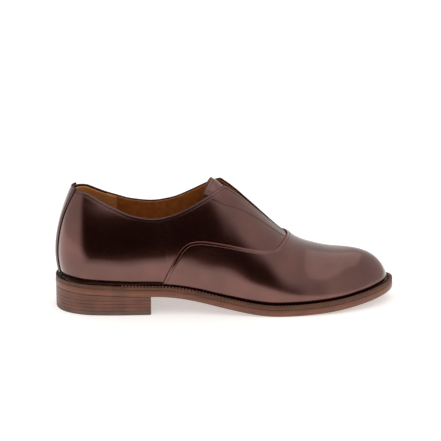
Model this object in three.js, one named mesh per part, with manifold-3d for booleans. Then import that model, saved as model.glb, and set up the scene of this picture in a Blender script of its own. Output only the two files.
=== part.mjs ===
// A laceless leather oxford shoe for a woman's right foot, EU size 38, in millimetres.
//
// While it is built, X runs from the heel's back to the toe, Y from the outer (lateral, negative) side
// to the inner (medial) side, and Z up from the floor. The finished group is moved so that its origin is
// the centre of its footprint.
//
// The upper is drawn on a last made of ribs. Each rib starts at the feather edge, where the upper meets
// the sole, and rises in a vertical plane to the spine above the middle of the foot. A place on the last
// is (side, step, level). Step 0 is the heel's back and 1 the toe's tip. Level 0 is the feather edge, 1
// the spine, and -1 the inner edge of the lasting margin, which is turned in under the insole.

import * as THREE from 'three';
import { mergeVertices } from 'three/addons/utils/BufferGeometryUtils.js';
import Module from 'manifold-3d';

const wasm = await Module();
wasm.setup();

const LATERAL = -1;
const MEDIAL = 1;
const SIDES = [LATERAL, MEDIAL];

// The clearance between two pieces that touch on the real shoe.
const GAP = 0.3;

// The last. A place given as a fraction is measured along the feather edge's length, from heel to toe.
const LAST_LENGTH = 258;
const BALL_BREADTH = 80;
const HEEL_BACK = 4;
const INSTEP_HEIGHT = 114;
const VAMP_HEIGHT = 41;
const LASTING_MARGIN = 10;
// Half-breadths at ten equal steps, as fractions of half the ball's breadth.
const LATERAL_BREADTHS = [0, 0.42, 0.655, 0.705, 0.71, 0.82, 0.94, 0.86, 0.6, 0.25, -0.12];
const MEDIAL_BREADTHS = [0, 0.42, 0.64, 0.655, 0.61, 0.8, 1.02, 0.99, 0.79, 0.46, 0.12];
// The spine falls from the instep to the vamp; each value is a fraction of that fall.
const SPINE_FALL = [[0, 0.03], [0.37, 0], [0.43, 0.02], [0.47, 0.08], [0.508, 0.18], [0.585, 0.445],
  [0.66, 0.7], [0.69, 0.79], [0.715, 0.86], [0.75, 0.918], [0.806, 0.975], [0.864, 1]];
const SPINE_TOE_Y = 5;
const HEEL_FAN = { span: 40, reach: 10 };
const TOE_FAN = { span: 62, reach: 27 };
// Ribs whose tops come this near to a fan's end meet there.
const FAN_MEETING = 0.5;
// How square a rib's shoulder is, and how far its side bulges out over the foot of the rib.
const FULLNESS = [[0, 0.72], [0.07, 1.15], [0.13, 1.5], [0.19, 1.42], [0.27, 1.05], [0.4, 0.95],
  [0.6, 1], [1, 0.93]];
const SIDE_BULGE = [[0, 5.3], [0.25, 4.5], [0.45, 3.2], [0.65, 2], [0.8, 0.8], [1, 0]];

// The sole and the heel.
const TREAD = 0.66;
const BREAST = 0.271;
const HEEL_PITCH = 3;
const TOE_SPRING = 8.4;
const OUTSOLE_THICKNESS = 5;
const WELT_THICKNESS = 3;
const WELT_START = 0.165;
const SOLE_MARGIN = [[0, 4], [0.2, 3.6], [0.38, 3], [0.55, 4], [0.7, 4.4], [1, 4]];
// The heel's height at its breast follows from what is stacked there.
const TOP_PIECE_THICKNESS = 3.4;
const LIFT_THICKNESS = 2.5;
const LIFTS = 3;
const SEAT_LIFT_THICKNESS = 2.1;
const HEEL_HEIGHT = TOP_PIECE_THICKNESS + LIFTS * (LIFT_THICKNESS + GAP) + SEAT_LIFT_THICKNESS + 2 * GAP;
const INSOLE_THICKNESS = 2.5;
const SOCK_THICKNESS = 1.4;
const SHANK = { start: 0.14, end: 0.52, width: 13, thickness: 1.5 };
const CORK = { start: 0.535, end: 0.93 };
const NAIL = { radius: 1, headRadius: 2.2, headHeight: 1, tip: 5 };
// The steps of the nails beside the heel's edge, and their distance in from it.
const NAIL_STEPS = [0.21, 0.285];
const NAIL_INSET = 14;
const BACK_NAIL_X = 20;
const NAIL_SIDES = 8;

// The upper. Depths are measured inward from the outermost face.
const LAYER_GAP = 0.5;
const LEATHER = 1.2;
const LINING = 0.8;
const STIFFENER = 1;
const QUARTER_DEPTH = LEATHER + LAYER_GAP;
const LINING_DEPTH = QUARTER_DEPTH + LEATHER + GAP;
const HEEL_LINING_DEPTH = LINING_DEPTH + STIFFENER + GAP;
const TONGUE_DEPTH = LINING_DEPTH + LINING + 2 * LAYER_GAP;
const TONGUE_LINING_DEPTH = TONGUE_DEPTH + LEATHER + GAP;
const INNERMOST = HEEL_LINING_DEPTH + LINING;
const LASTED_STACK = LINING_DEPTH + LINING + 4 * GAP;

const TOPLINE = [[0, 96], [0.05, 94.8], [0.1, 91], [0.16, 84.5], [0.22, 78.4], [0.28, 76.3],
  [0.34, 78.8], [0.4, 85.4], [0.45, 92.2], [0.5, 98.5]];
const FACING_TOP = 0.5;
const THROAT = 0.692;
const SLIT_HALF_WIDTH = 10;
const SWAN_NECK = [[0.3, 19], [0.331, 37], [0.349, 46], [0.367, 53], [0.391, 57.2], [0.42, 58.2],
  [0.456, 57.3], [0.5, 55.4], [0.54, 53.2], [0.575, 51.5], [0.611, 50], [0.645, 49.4]];
const VAMP_START = 0.308;
const THROAT_TURN = 0.642;
const LAP = 6;
const NEAR_THROAT = 0.686;
const GORE_WIDTH = 10;
const GORE_END = 0.675;
const BACK_SEAM = 0.12;
const QUARTER_END = 0.706;
const LINING_START = 0.348;
const LINING_JOIN = 0.143;
const HEEL_LINING_END = 0.17;
const COUNTER = { end: 0.138, back: 58, wing: 42 };
const PUFF_START = 0.83;
const TONGUE = { base: 0.725, end: 0.435, arch: 0.04, baseWidth: 16, width: 18.5, drop: 4 };
// The step at which the back strip ends, at three levels.
const BACK_STRIP = [[0.03, 0.036], [0.35, 0.042], [0.7, 0.09]];

const COLOURS = {
  oxblood: '#4a2426',
  tan: '#b9824f',
  suede: '#c39a6b',
  fibre: '#c9b48c',
  elastic: '#2a1a1a',
  stack: '#6a4035',
  rubber: '#4c4340',
  sole: '#694039',
  cork: '#b58a5a',
  steel: '#8d9196',
  brass: '#b08d4c',
};

const group = new THREE.Group();

// ---------------------------------------------------------------- curves

/** A cubic curve through [place, value] pairs that never overshoots them, straight beyond its ends. */
function smoothThrough(stations) {
  const last = stations.length - 1;
  const secant = (i) => (stations[i + 1][1] - stations[i][1]) / (stations[i + 1][0] - stations[i][0]);
  const slopes = stations.map((_, i) => {
    if (i === 0) return secant(0);
    if (i === last) return secant(last - 1);
    const before = secant(i - 1);
    const after = secant(i);
    return before * after <= 0 ? 0 : (2 * before * after) / (before + after);
  });
  return (place) => {
    if (place <= stations[0][0]) return stations[0][1] + slopes[0] * (place - stations[0][0]);
    if (place >= stations[last][0]) return stations[last][1] + slopes[last] * (place - stations[last][0]);
    const i = stations.findIndex(([next]) => next > place) - 1;
    const span = stations[i + 1][0] - stations[i][0];
    const t = (place - stations[i][0]) / span;
    const [start, end] = [stations[i][1], stations[i + 1][1]];
    return start * (1 + 2 * t) * (1 - t) ** 2 + slopes[i] * span * t * (1 - t) ** 2
      + end * t * t * (3 - 2 * t) + slopes[i + 1] * span * t * t * (t - 1);
  };
}

const evenly = (values) => smoothThrough(values.map((value, i) => [i / (values.length - 1), value]));
const fractionAt = (x) => (x - HEEL_BACK) / LAST_LENGTH;
const placeAt = (fraction) => HEEL_BACK + LAST_LENGTH * fraction;
const stepAt = (fraction) => Math.acos(1 - 2 * THREE.MathUtils.clamp(fraction, 0, 1)) / Math.PI;
const breadthCurves = { [LATERAL]: evenly(LATERAL_BREADTHS), [MEDIAL]: evenly(MEDIAL_BREADTHS) };
const spineFall = smoothThrough(SPINE_FALL);
const fullness = smoothThrough(FULLNESS);
const sideBulge = smoothThrough(SIDE_BULGE);
const soleMargin = smoothThrough(SOLE_MARGIN);
const topline = smoothThrough(TOPLINE);
const swanNeck = smoothThrough(SWAN_NECK);

/** The height of the outsole's underside: the heel seat, the waist, the tread and the toe spring. */
function soleBottom(x) {
  const along = fractionAt(x);
  if (along < BREAST) return HEEL_HEIGHT + HEEL_PITCH * (1 - along / BREAST);
  if (along < TREAD) {
    const fall = (along - BREAST) / (TREAD - BREAST);
    return HEEL_HEIGHT * (1 + Math.cos(Math.PI * fall)) / 2;
  }
  return TOE_SPRING * ((along - TREAD) / (1 - TREAD)) ** 2;
}

const outsoleTop = (x) => soleBottom(x) + OUTSOLE_THICKNESS;

/** The height where ribs start. The heel has no vamp layer, so its ribs start lower by that layer. */
function footHeight(x) {
  const waist = THREE.MathUtils.smoothstep(fractionAt(x), 0.21, 0.29);
  return outsoleTop(x) + GAP - QUARTER_DEPTH * (1 - waist);
}

// ---------------------------------------------------------------- the last

/** A point of the feather edge, moved outward in plan by a margin. */
function edgePoint(side, step, margin) {
  const at = (s) => new THREE.Vector2(
    HEEL_BACK + LAST_LENGTH * (1 - Math.cos(Math.PI * s)) / 2,
    side * breadthCurves[side](s) * BALL_BREADTH / 2,
  );
  const little = 1e-4;
  const along = at(step + little).sub(at(step - little));
  if (step < little || step > 1 - little) along.set(0, side * Math.sign(0.5 - step));
  const outward = new THREE.Vector2(along.y, -along.x).multiplyScalar(-side).normalize();
  return at(step).addScaledVector(outward, margin);
}

/** How far a rib's top moves along the spine while its foot moves by a distance into a fan. */
function fanned(distance, fan) {
  const share = THREE.MathUtils.clamp(distance / fan.span, 0, 1);
  const left = fan.reach * (1 - share) ** (fan.span / fan.reach);
  return left < FAN_MEETING ? fan.reach : fan.reach - left;
}

function spinePlace(x) {
  const heelEdge = HEEL_BACK + HEEL_FAN.span;
  const toeEdge = HEEL_BACK + LAST_LENGTH - TOE_FAN.span;
  if (x < heelEdge) return heelEdge - fanned(heelEdge - x, HEEL_FAN);
  if (x > toeEdge) return toeEdge + fanned(x - toeEdge, TOE_FAN);
  return x;
}

function ribAt(side, step) {
  const foot = edgePoint(side, step, 0);
  const along = fractionAt(foot.x);
  const topX = spinePlace(foot.x);
  const topY = SPINE_TOE_Y * THREE.MathUtils.smoothstep(fractionAt(topX), 0.5, 0.9);
  const top = new THREE.Vector2(topX, topY);
  const height = INSTEP_HEIGHT - (INSTEP_HEIGHT - VAMP_HEIGHT) * spineFall(fractionAt(topX));
  return {
    foot,
    footZ: footHeight(foot.x),
    rise: height - footHeight(foot.x),
    inward: top.clone().sub(foot).normalize(),
    reach: top.distanceTo(foot),
    fullness: fullness(along),
    bulge: sideBulge(along),
  };
}

/** How far inward of its foot a rib is at a level. */
function inset(rib, level) {
  const angle = level * Math.PI / 2;
  const height = Math.sin(angle);
  const curve = 1 - Math.max(0, Math.cos(angle)) ** rib.fullness;
  return rib.reach * curve - rib.bulge * 6.75 * height * (1 - height) ** 2;
}

function onRib(rib, level) {
  const inward = level < 0 ? -level * LASTING_MARGIN : inset(rib, level);
  const plan = rib.foot.clone().addScaledVector(rib.inward, inward);
  const height = level < 0 ? footHeight(plan.x) : rib.footZ + rib.rise * Math.sin(level * Math.PI / 2);
  return new THREE.Vector3(plan.x, plan.y, height);
}

function levelAtHeight(rib, z) {
  const share = THREE.MathUtils.clamp((z - rib.footZ) / rib.rise, 0, 1);
  return Math.asin(share) * 2 / Math.PI;
}

/** The level at a distance from the spine. */
function levelFromSpine(rib, distance) {
  const share = THREE.MathUtils.clamp(distance / rib.reach, 0, 1);
  return Math.acos(share ** (1 / rib.fullness)) * 2 / Math.PI;
}

// ---------------------------------------------------------------- lines drawn on the last

/** The level of the swan-neck seam, where the vamp laps over the quarters and turns across the throat. */
function seamLevel(side, step) {
  const rib = ribAt(side, step);
  const along = fractionAt(rib.foot.x);
  const level = levelAtHeight(rib, swanNeck(Math.min(along, THROAT_TURN)));
  if (along <= THROAT_TURN) return level;
  const turn = Math.min(1, (along - THROAT_TURN) / (THROAT - THROAT_TURN));
  const distance = rib.reach * Math.cos(level * Math.PI / 2) ** rib.fullness * Math.sqrt(1 - turn * turn);
  return levelFromSpine(rib, distance);
}

/** The level of a quarter's lower edge under the vamp. Behind it the lasting margin narrows away. */
function lapLevel(side, step, drop) {
  const rib = ribAt(side, step);
  const past = rib.foot.x - LAP - placeAt(SWAN_NECK[0][0]);
  if (past < 0) return Math.max(-1, past / LASTING_MARGIN);
  const seamStep = stepAt(fractionAt(rib.foot.x - LAP));
  const seam = onRib(ribAt(side, seamStep), seamLevel(side, seamStep));
  return levelAtHeight(rib, seam.z - LAP - drop);
}

function slitHalfWidth(along) {
  const open = THREE.MathUtils.clamp((THROAT - along) / (THROAT - FACING_TOP), 0, 1);
  return GAP + (SLIT_HALF_WIDTH - GAP) * open;
}

/** The level of a line at a distance outside the facing's edge. */
function besideFacing(side, step, distance) {
  const rib = ribAt(side, step);
  return levelFromSpine(rib, slitHalfWidth(fractionAt(rib.foot.x)) + distance);
}

/** The level of the topline, and in front of its corner of a line beside the facing's edge. */
function upperEdge(side, step, distance) {
  const rib = ribAt(side, step);
  const shown = levelAtHeight(rib, topline(fractionAt(rib.foot.x)));
  return Math.min(shown, besideFacing(side, step, distance));
}

// ---------------------------------------------------------------- solids

// Every layer has its corners on the same steps and levels.
// The first level is higher than the layers are deep.
const LEVELS = [0, 0.12, 0.2, 0.3, 0.4, 0.52, 0.64, 0.76, 0.88, 1];
const MARKS = [-1, ...LEVELS];
const EVEN_STEPS = 24;
const KEY_PLACES = [
  BREAST, COUNTER.end, LINING_JOIN, WELT_START, HEEL_LINING_END, VAMP_START, VAMP_START + 0.02,
  LINING_START,
  TONGUE.end, TONGUE.end + TONGUE.arch / 2, TONGUE.end + TONGUE.arch,
  FACING_TOP, TREAD, GORE_END, NEAR_THROAT, THROAT, QUARTER_END, TONGUE.base, PUFF_START,
];

function sharedSteps() {
  const marked = KEY_PLACES.map(stepAt);
  const apart = 0.012;
  const even = Array.from({ length: EVEN_STEPS + 1 }, (_, i) => i / EVEN_STEPS);
  const between = even.filter((step) => marked.every((mark) => Math.abs(mark - step) > apart));
  return [...marked, ...between].sort((a, b) => a - b);
}

const ALL_STEPS = sharedSteps();

/** Both ends with the shared steps between them. */
function stepsAcross(start, end) {
  const crowded = 0.006;
  return [start, ...ALL_STEPS.filter((step) => step > start + crowded && step < end - crowded), end];
}

/** The shared steps from one step to another. */
function stepsBetween(start, end) {
  const little = 1e-6;
  return ALL_STEPS.filter((step) => step > start - little && step < end + little);
}

const pointKey = (point) => point.toArray().map((value) => Math.round(value * 1e4)).join();

/** Welds triangles given by their corners into an indexed mesh, and drops those with no area. */
function weld(triangles) {
  const points = [];
  const indices = [];
  const known = new Map();
  const indexOf = (point) => {
    const key = pointKey(point);
    if (!known.has(key)) known.set(key, points.push(point) - 1);
    return known.get(key);
  };
  for (const triangle of triangles) {
    const [a, b, c] = triangle.map(indexOf);
    if (a !== b && b !== c && c !== a) indices.push([a, b, c]);
  }
  return { points, indices };
}

function geometryFrom(points, indices) {
  const geometry = new THREE.BufferGeometry();
  const coordinates = points.flatMap((p) => p.toArray());
  geometry.setAttribute('position', new THREE.Float32BufferAttribute(coordinates, 3));
  geometry.setIndex(indices.flat());
  return geometry;
}

function signedVolume(points, indices) {
  return indices.reduce((sum, [a, b, c]) => sum + points[a].dot(points[b].clone().cross(points[c])), 0);
}

function closedGeometry(triangles) {
  const { points, indices } = weld(triangles);
  const inside = signedVolume(points, indices) < 0;
  return geometryFrom(points, inside ? indices.map(([a, b, c]) => [a, c, b]) : indices);
}

/** The two triangles of each cell of a grid of points. */
function gridTriangles(grid) {
  const triangles = [];
  for (let i = 0; i + 1 < grid.length; i += 1) {
    for (let j = 0; j + 1 < grid[i].length; j += 1) {
      const [a, b, c, d] = [grid[i][j], grid[i + 1][j], grid[i + 1][j + 1], grid[i][j + 1]];
      triangles.push([a, b, c], [a, c, d]);
    }
  }
  return triangles;
}

/** Outward directions at a mesh's points, longer at corners so that layers keep their distance. */
function offsetDirections({ points, indices }) {
  const around = points.map(() => []);
  const corners = new THREE.Triangle();
  for (const triangle of indices) {
    corners.set(...triangle.map((i) => points[i]));
    const normal = corners.getNormal(new THREE.Vector3());
    const area = corners.getArea();
    for (const i of triangle) around[i].push({ normal, area });
  }
  return around.map((faces) => {
    const direction = new THREE.Vector3();
    for (const { normal, area } of faces) direction.addScaledVector(normal, Math.sqrt(area));
    direction.normalize();
    const least = Math.min(...faces.map(({ normal }) => normal.dot(direction)));
    return direction.divideScalar(Math.max(least, 0.7));
  });
}

/** The edges that only one triangle uses, in that triangle's order. */
function openEdges(indices) {
  const edges = new Map();
  for (const [a, b, c] of indices) {
    for (const [from, to] of [[a, b], [b, c], [c, a]]) edges.set(`${from},${to}`, [from, to]);
  }
  return [...edges.values()].filter(([from, to]) => !edges.has(`${to},${from}`));
}

/** The outward direction at each place used on the last, which every layer follows to lie parallel. */
function directionsOfLast() {
  const grids = SIDES.map((side) => {
    const grid = ALL_STEPS.map((step) => MARKS.map((level) => onRib(ribAt(side, step), level)));
    return side === LATERAL ? grid : grid.reverse();
  });
  const whole = weld(grids.flatMap(gridTriangles));
  const directions = offsetDirections(whole);
  return new Map(whole.points.map((point, i) => [pointKey(point), directions[i]]));
}

const lastDirections = directionsOfLast();

/** The point at a share of the way between two points of the last, with its direction noted. */
function between(from, to, share) {
  const point = from.clone().lerp(to, share);
  const [start, end] = [from, to].map((mark) => lastDirections.get(pointKey(mark)));
  const key = pointKey(point);
  if (!lastDirections.has(key)) lastDirections.set(key, start.clone().lerp(end, share));
  return point;
}

/** A place on the facets that a rib shares with its neighbours. */
function onFacet(rib, level) {
  const next = Math.max(1, MARKS.findIndex((mark) => mark > level));
  const above = level >= 1 ? MARKS.length - 1 : next;
  const [low, high] = [MARKS[above - 1], MARKS[above]];
  return between(onRib(rib, low), onRib(rib, high), (level - low) / (high - low));
}

/** A sheet of leather: a surface laid at a depth under the last's outer face, with a thickness. */
function sheet(triangles, depth, thickness) {
  const { points, indices } = weld(triangles);
  const own = offsetDirections({ points, indices });
  const directions = points.map((point, i) => lastDirections.get(pointKey(point)) ?? own[i]);
  const depthAt = typeof depth === 'function' ? depth : () => depth;
  const moved = (p, i, extra) => p.clone().addScaledVector(directions[i], -depthAt(p) - extra);
  const laid = (extra) => points.map((p, i) => moved(p, i, extra));
  const count = points.length;
  const walls = openEdges(indices).flatMap(([from, to]) => [
    [to, from, from + count],
    [to, from + count, to + count],
  ]);
  const under = indices.map(([a, b, c]) => [a + count, c + count, b + count]);
  const all = [...laid(0), ...laid(thickness)];
  return closedGeometry([...indices, ...walls, ...under].map((corners) => corners.map((i) => all[i])));
}

/** One side of the last between two edges, as triangles that face out. */
function sidePanel(side, steps, lowerEdge, topEdge, startShare = 0) {
  const crowded = 0.02;
  const grid = steps.map((step) => {
    const rib = ribAt(side, step);
    const low = lowerEdge(side, step);
    const start = Math.max(0, low);
    const top = topEdge(side, step);
    const levels = LEVELS.map((level) => {
      if (level > top - crowded) return top;
      return level < start + crowded ? start : level;
    });
    return [Math.min(low, start), start, ...levels, top].map((level) => onFacet(rib, level));
  });
  grid[0] = grid[0].map((point, row) => between(point, grid[1][row], startShare));
  return gridTriangles(side === LATERAL ? grid : grid.reverse());
}

function bothSides(steps, lowerEdge, topEdge) {
  return SIDES.flatMap((side) => sidePanel(side, steps, lowerEdge, topEdge));
}

const fromMargin = () => -1;
const toSpine = () => 1;

/** A closed solid through sections, each a ring of the same number of points; ends are capped. */
function swept(sections) {
  const rings = sections.map((ring) => [...ring, ring[0]]);
  const cap = (ring) => ring.slice(1, -1).map((point, i) => [ring[0], point, ring[i + 2]]);
  const last = cap(sections.at(-1)).map(([a, b, c]) => [a, c, b]);
  return closedGeometry([...gridTriangles(rings), ...cap(sections[0]), ...last]);
}

/** A layer of the bottom: an outline of the last with a margin, between two heights. */
function plate(start, end, margin, low, high) {
  const steps = stepsAcross(stepAt(start), stepAt(end));
  return swept(steps.map((step) => {
    const [lateral, medial] = SIDES.map((side) => edgePoint(side, step, margin(side, step)));
    return [
      new THREE.Vector3(lateral.x, lateral.y, low(lateral.x)),
      new THREE.Vector3(medial.x, medial.y, low(medial.x)),
      new THREE.Vector3(medial.x, medial.y, high(medial.x)),
      new THREE.Vector3(lateral.x, lateral.y, high(lateral.x)),
    ];
  }));
}

function toManifold(geometry) {
  const merged = mergeVertices(geometry, 1e-4);
  return new wasm.Manifold(new wasm.Mesh({
    numProp: 3,
    vertProperties: new Float32Array(merged.attributes.position.array),
    triVerts: new Uint32Array(merged.index.array),
  }));
}

function fromManifold(solid) {
  const mesh = solid.getMesh();
  const geometry = new THREE.BufferGeometry();
  geometry.setAttribute('position', new THREE.Float32BufferAttribute(mesh.vertProperties, 3));
  geometry.setIndex([...mesh.triVerts]);
  return geometry;
}

function addPart(name, geometry, colour, roughness, metalness = 0) {
  const material = new THREE.MeshStandardMaterial({ color: COLOURS[colour], roughness, metalness });
  const mesh = new THREE.Mesh(geometry, material);
  mesh.name = name;
  group.add(mesh);
}

// ---------------------------------------------------------------- the bottom

const outerMargin = (side, step) => soleMargin(fractionAt(edgePoint(side, step, 0).x));

/** The margin of a layer inside the shoe, clear of the lining up to a height above the rib's foot. */
function innerMargin(height) {
  return (side, step) => {
    const rib = ribAt(side, step);
    const lean = inset(rib, levelAtHeight(rib, rib.footZ + height));
    return -(INNERMOST + GAP + Math.max(0, lean));
  };
}

/** A strip around the upper's foot, on the outsole, from one side to the other. */
function edgeStrip(places, thickness) {
  const section = ([side, step]) => {
    const rib = ribAt(side, step);
    const lean = inset(rib, levelAtHeight(rib, rib.footZ + thickness + QUARTER_DEPTH));
    const inner = edgePoint(side, step, GAP + Math.max(0, -lean));
    const outer = edgePoint(side, step, outerMargin(side, step));
    const low = ({ x }) => outsoleTop(x) + GAP;
    const high = ({ x }) => low({ x }) + thickness;
    return [[inner, low], [outer, low], [outer, high], [inner, high]].map(
      ([point, height]) => new THREE.Vector3(point.x, point.y, height(point)),
    );
  };
  return swept(places.map(section));
}

const weltSteps = stepsBetween(stepAt(WELT_START), 1);
const weltPlaces = [
  ...weltSteps.map((step) => [LATERAL, step]),
  ...weltSteps.slice(0, -1).reverse().map((step) => [MEDIAL, step]),
];
const randSteps = stepsAcross(0, stepAt(WELT_START) - 0.002);
const randPlaces = [
  ...randSteps.slice(1).reverse().map((step) => [LATERAL, step]),
  ...randSteps.map((step) => [MEDIAL, step]),
];

const insoleBottom = (x) => outsoleTop(x) + LASTED_STACK;
const insoleTop = (x) => insoleBottom(x) + INSOLE_THICKNESS;

/** A nail on the Z axis with its head at the top, grown on every side by a clearance. */
function nailGeometry(bottom, top, clearance) {
  const shoulder = top - NAIL.headHeight - clearance;
  const profile = [
    [0, bottom - clearance],
    [NAIL.radius + clearance, bottom - clearance],
    [NAIL.radius + clearance, shoulder],
    [NAIL.headRadius + clearance, shoulder],
    [NAIL.headRadius + clearance, top + clearance],
    [0, top + clearance],
  ].map(([r, z]) => new THREE.Vector2(r, z));
  const lathe = new THREE.LatheGeometry(profile, NAIL_SIDES);
  lathe.deleteAttribute('normal');
  lathe.deleteAttribute('uv');
  const { array } = lathe.toNonIndexed().attributes.position;
  const corner = (i) => new THREE.Vector3(array[3 * i], -array[3 * i + 2], array[3 * i + 1]);
  const count = array.length / 9;
  return closedGeometry(Array.from({ length: count }, (_, i) => [0, 1, 2].map((k) => corner(3 * i + k))));
}

const nailPlaces = [
  new THREE.Vector2(BACK_NAIL_X, 0),
  ...NAIL_STEPS.flatMap((step) => SIDES.map((side) => edgePoint(side, step, -NAIL_INSET))),
];
const nails = nailPlaces.map(({ x, y }) => ({ x, y, top: insoleTop(x) }));

/** Cuts the nails' holes. */
function nailed(geometry) {
  return fromManifold(nails.reduce((solid, { x, y, top }) => {
    const hole = nailGeometry(NAIL.tip, top, GAP).translate(x, y, 0);
    return solid.subtract(toManifold(hole));
  }, toManifold(geometry)));
}

function addHeel() {
  addPart('top_piece', plate(0, BREAST, outerMargin, () => 0, () => TOP_PIECE_THICKNESS), 'rubber', 0.7);
  let low = TOP_PIECE_THICKNESS + GAP;
  for (let lift = 1; lift <= LIFTS; lift += 1) {
    const bottom = low;
    const top = low + LIFT_THICKNESS;
    const layer = plate(0, BREAST, outerMargin, () => bottom, () => top);
    addPart(`heel_lift_${lift}`, nailed(layer), 'stack', 0.5);
    low = top + GAP;
  }
  const seat = (x) => soleBottom(x) - GAP;
  addPart('heel_seat_lift', nailed(plate(0, BREAST, outerMargin, () => low, seat)), 'stack', 0.5);
  nails.forEach(({ x, y, top }, i) => {
    addPart(`heel_nail_${i + 1}`, nailGeometry(NAIL.tip, top, 0).translate(x, y, 0), 'brass', 0.4, 1);
  });
}

function addSole() {
  addPart('outsole', nailed(plate(0, 1, outerMargin, soleBottom, outsoleTop)), 'sole', 0.5);
  addPart('welt', edgeStrip(weltPlaces, WELT_THICKNESS), 'sole', 0.5);
  addPart('heel_rand', edgeStrip(randPlaces, WELT_THICKNESS), 'sole', 0.5);
  const insoleMargin = innerMargin(LASTED_STACK + INSOLE_THICKNESS);
  addPart('insole', nailed(plate(0, 1, insoleMargin, insoleBottom, insoleTop)), 'fibre', 0.8);
  const sockBottom = (x) => insoleTop(x) + GAP;
  const sockTop = (x) => sockBottom(x) + SOCK_THICKNESS;
  const sockMargin = innerMargin(LASTED_STACK + INSOLE_THICKNESS + SOCK_THICKNESS + 2 * GAP);
  addPart('sock_liner', plate(0, 1, sockMargin, sockBottom, sockTop), 'tan', 0.6);
  const corkMargin = () => -(LASTING_MARGIN + 1.5);
  const fillerBottom = (x) => outsoleTop(x) + GAP;
  const corkTop = (x) => insoleBottom(x) - GAP;
  addPart('cork_filler', plate(CORK.start, CORK.end, corkMargin, fillerBottom, corkTop), 'cork', 0.9);
  const shankSteps = stepsAcross(stepAt(SHANK.start), stepAt(SHANK.end));
  addPart('shank', swept(shankSteps.map((step) => {
    const { x } = edgePoint(LATERAL, step, 0);
    const corner = (y, z) => new THREE.Vector3(x, y * SHANK.width / 2, z);
    const low = fillerBottom(x);
    const high = low + SHANK.thickness;
    return [corner(-1, low), corner(1, low), corner(1, high), corner(-1, high)];
  })), 'steel', 0.4, 1);
}

// ---------------------------------------------------------------- the upper

function addVamp() {
  const vamp = bothSides(stepsBetween(stepAt(VAMP_START), 1), fromMargin, seamLevel);
  addPart('vamp', sheet(vamp, 0, LEATHER), 'oxblood', 0.2);
  const pastQuarter = (step) => step > stepAt(QUARTER_END) + 1e-6;
  const liningEdge = (side, step) => (pastQuarter(step) ? 1 : lapLevel(side, step, 2 * GAP));
  const lining = bothSides(stepsBetween(stepAt(LINING_START), 1), fromMargin, liningEdge);
  addPart('vamp_lining', sheet(lining, LINING_DEPTH, LINING), 'tan', 0.6);
  const puff = bothSides(stepsBetween(stepAt(PUFF_START), 1), fromMargin, toSpine);
  addPart('toe_puff', sheet(puff, QUARTER_DEPTH, STIFFENER), 'fibre', 0.8);
}

function addQuarter(side, name) {
  const panel = (start, end, lower, top) => sidePanel(side, stepsBetween(start, end), lower, top);
  const underLap = (s, step) => lapLevel(s, step, 0);
  const edge = (s, step) => upperEdge(s, step, 0);
  const quarter = sidePanel(side, stepsBetween(0, stepAt(QUARTER_END)), underLap, edge, BACK_SEAM);
  addPart(`quarter_${name}`, sheet(quarter, QUARTER_DEPTH, LEATHER), 'oxblood', 0.2);
  const goreStart = stepAt(TONGUE.end + TONGUE.arch);
  const besideGore = (s, step) => upperEdge(s, step, step < goreStart ? 0 : GORE_WIDTH + 3 * GAP);
  const lining = panel(stepAt(LINING_JOIN), stepAt(GORE_END), underLap, besideGore);
  addPart(`quarter_lining_${name}`, sheet(lining, LINING_DEPTH, LINING), 'tan', 0.6);
  const goreOuter = (s, step) => besideFacing(s, step, GORE_WIDTH + GAP);
  const goreInner = (s, step) => upperEdge(s, step, 2 * GAP);
  const gore = panel(goreStart, stepAt(GORE_END), goreOuter, goreInner);
  addPart(`elastic_gore_${name}`, sheet(gore, LINING_DEPTH, LINING), 'elastic', 0.9);
}

function addHeelLayers() {
  const edge = (side, step) => upperEdge(side, step, 0);
  const lining = bothSides(stepsBetween(0, stepAt(HEEL_LINING_END)), fromMargin, edge);
  addPart('heel_lining', sheet(lining, HEEL_LINING_DEPTH, LINING), 'suede', 0.9);
  const counterTop = (side, step) => {
    const rib = ribAt(side, step);
    const wing = fractionAt(rib.foot.x) / COUNTER.end;
    return levelAtHeight(rib, COUNTER.back - (COUNTER.back - COUNTER.wing) * wing ** 2);
  };
  const counter = bothSides(stepsBetween(0, stepAt(COUNTER.end)), fromMargin, counterTop);
  addPart('heel_counter', sheet(counter, LINING_DEPTH, STIFFENER), 'fibre', 0.8);
  addPart('back_strip', sheet(backStripTriangles(), 0, LEATHER), 'oxblood', 0.2);
}

/** The strip over the back seam: wide at the topline and narrow lower down. */
function backStripTriangles() {
  const stripEnd = smoothThrough(BACK_STRIP);
  const across = 6;
  const crowded = 0.02;
  const heel = ribAt(LATERAL, 0);
  const randTop = outsoleTop(HEEL_BACK) + WELT_THICKNESS + 3 * GAP;
  const bottom = levelAtHeight(heel, randTop);
  const topAtBack = upperEdge(LATERAL, 0, 0);
  const levels = [bottom, ...LEVELS.filter((level) => level > bottom + crowded)];
  const grid = Array.from({ length: across + 1 }, (_, i) => {
    const share = 1 - 2 * i / across;
    const side = share > 0 ? MEDIAL : LATERAL;
    const top = upperEdge(side, Math.abs(share) * stripEnd(topAtBack), 0);
    return levels.map((level) => {
      const shown = level > top - crowded ? top : level;
      return onRib(ribAt(side, Math.abs(share) * stripEnd(shown)), shown);
    });
  });
  return gridTriangles(grid);
}

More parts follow.
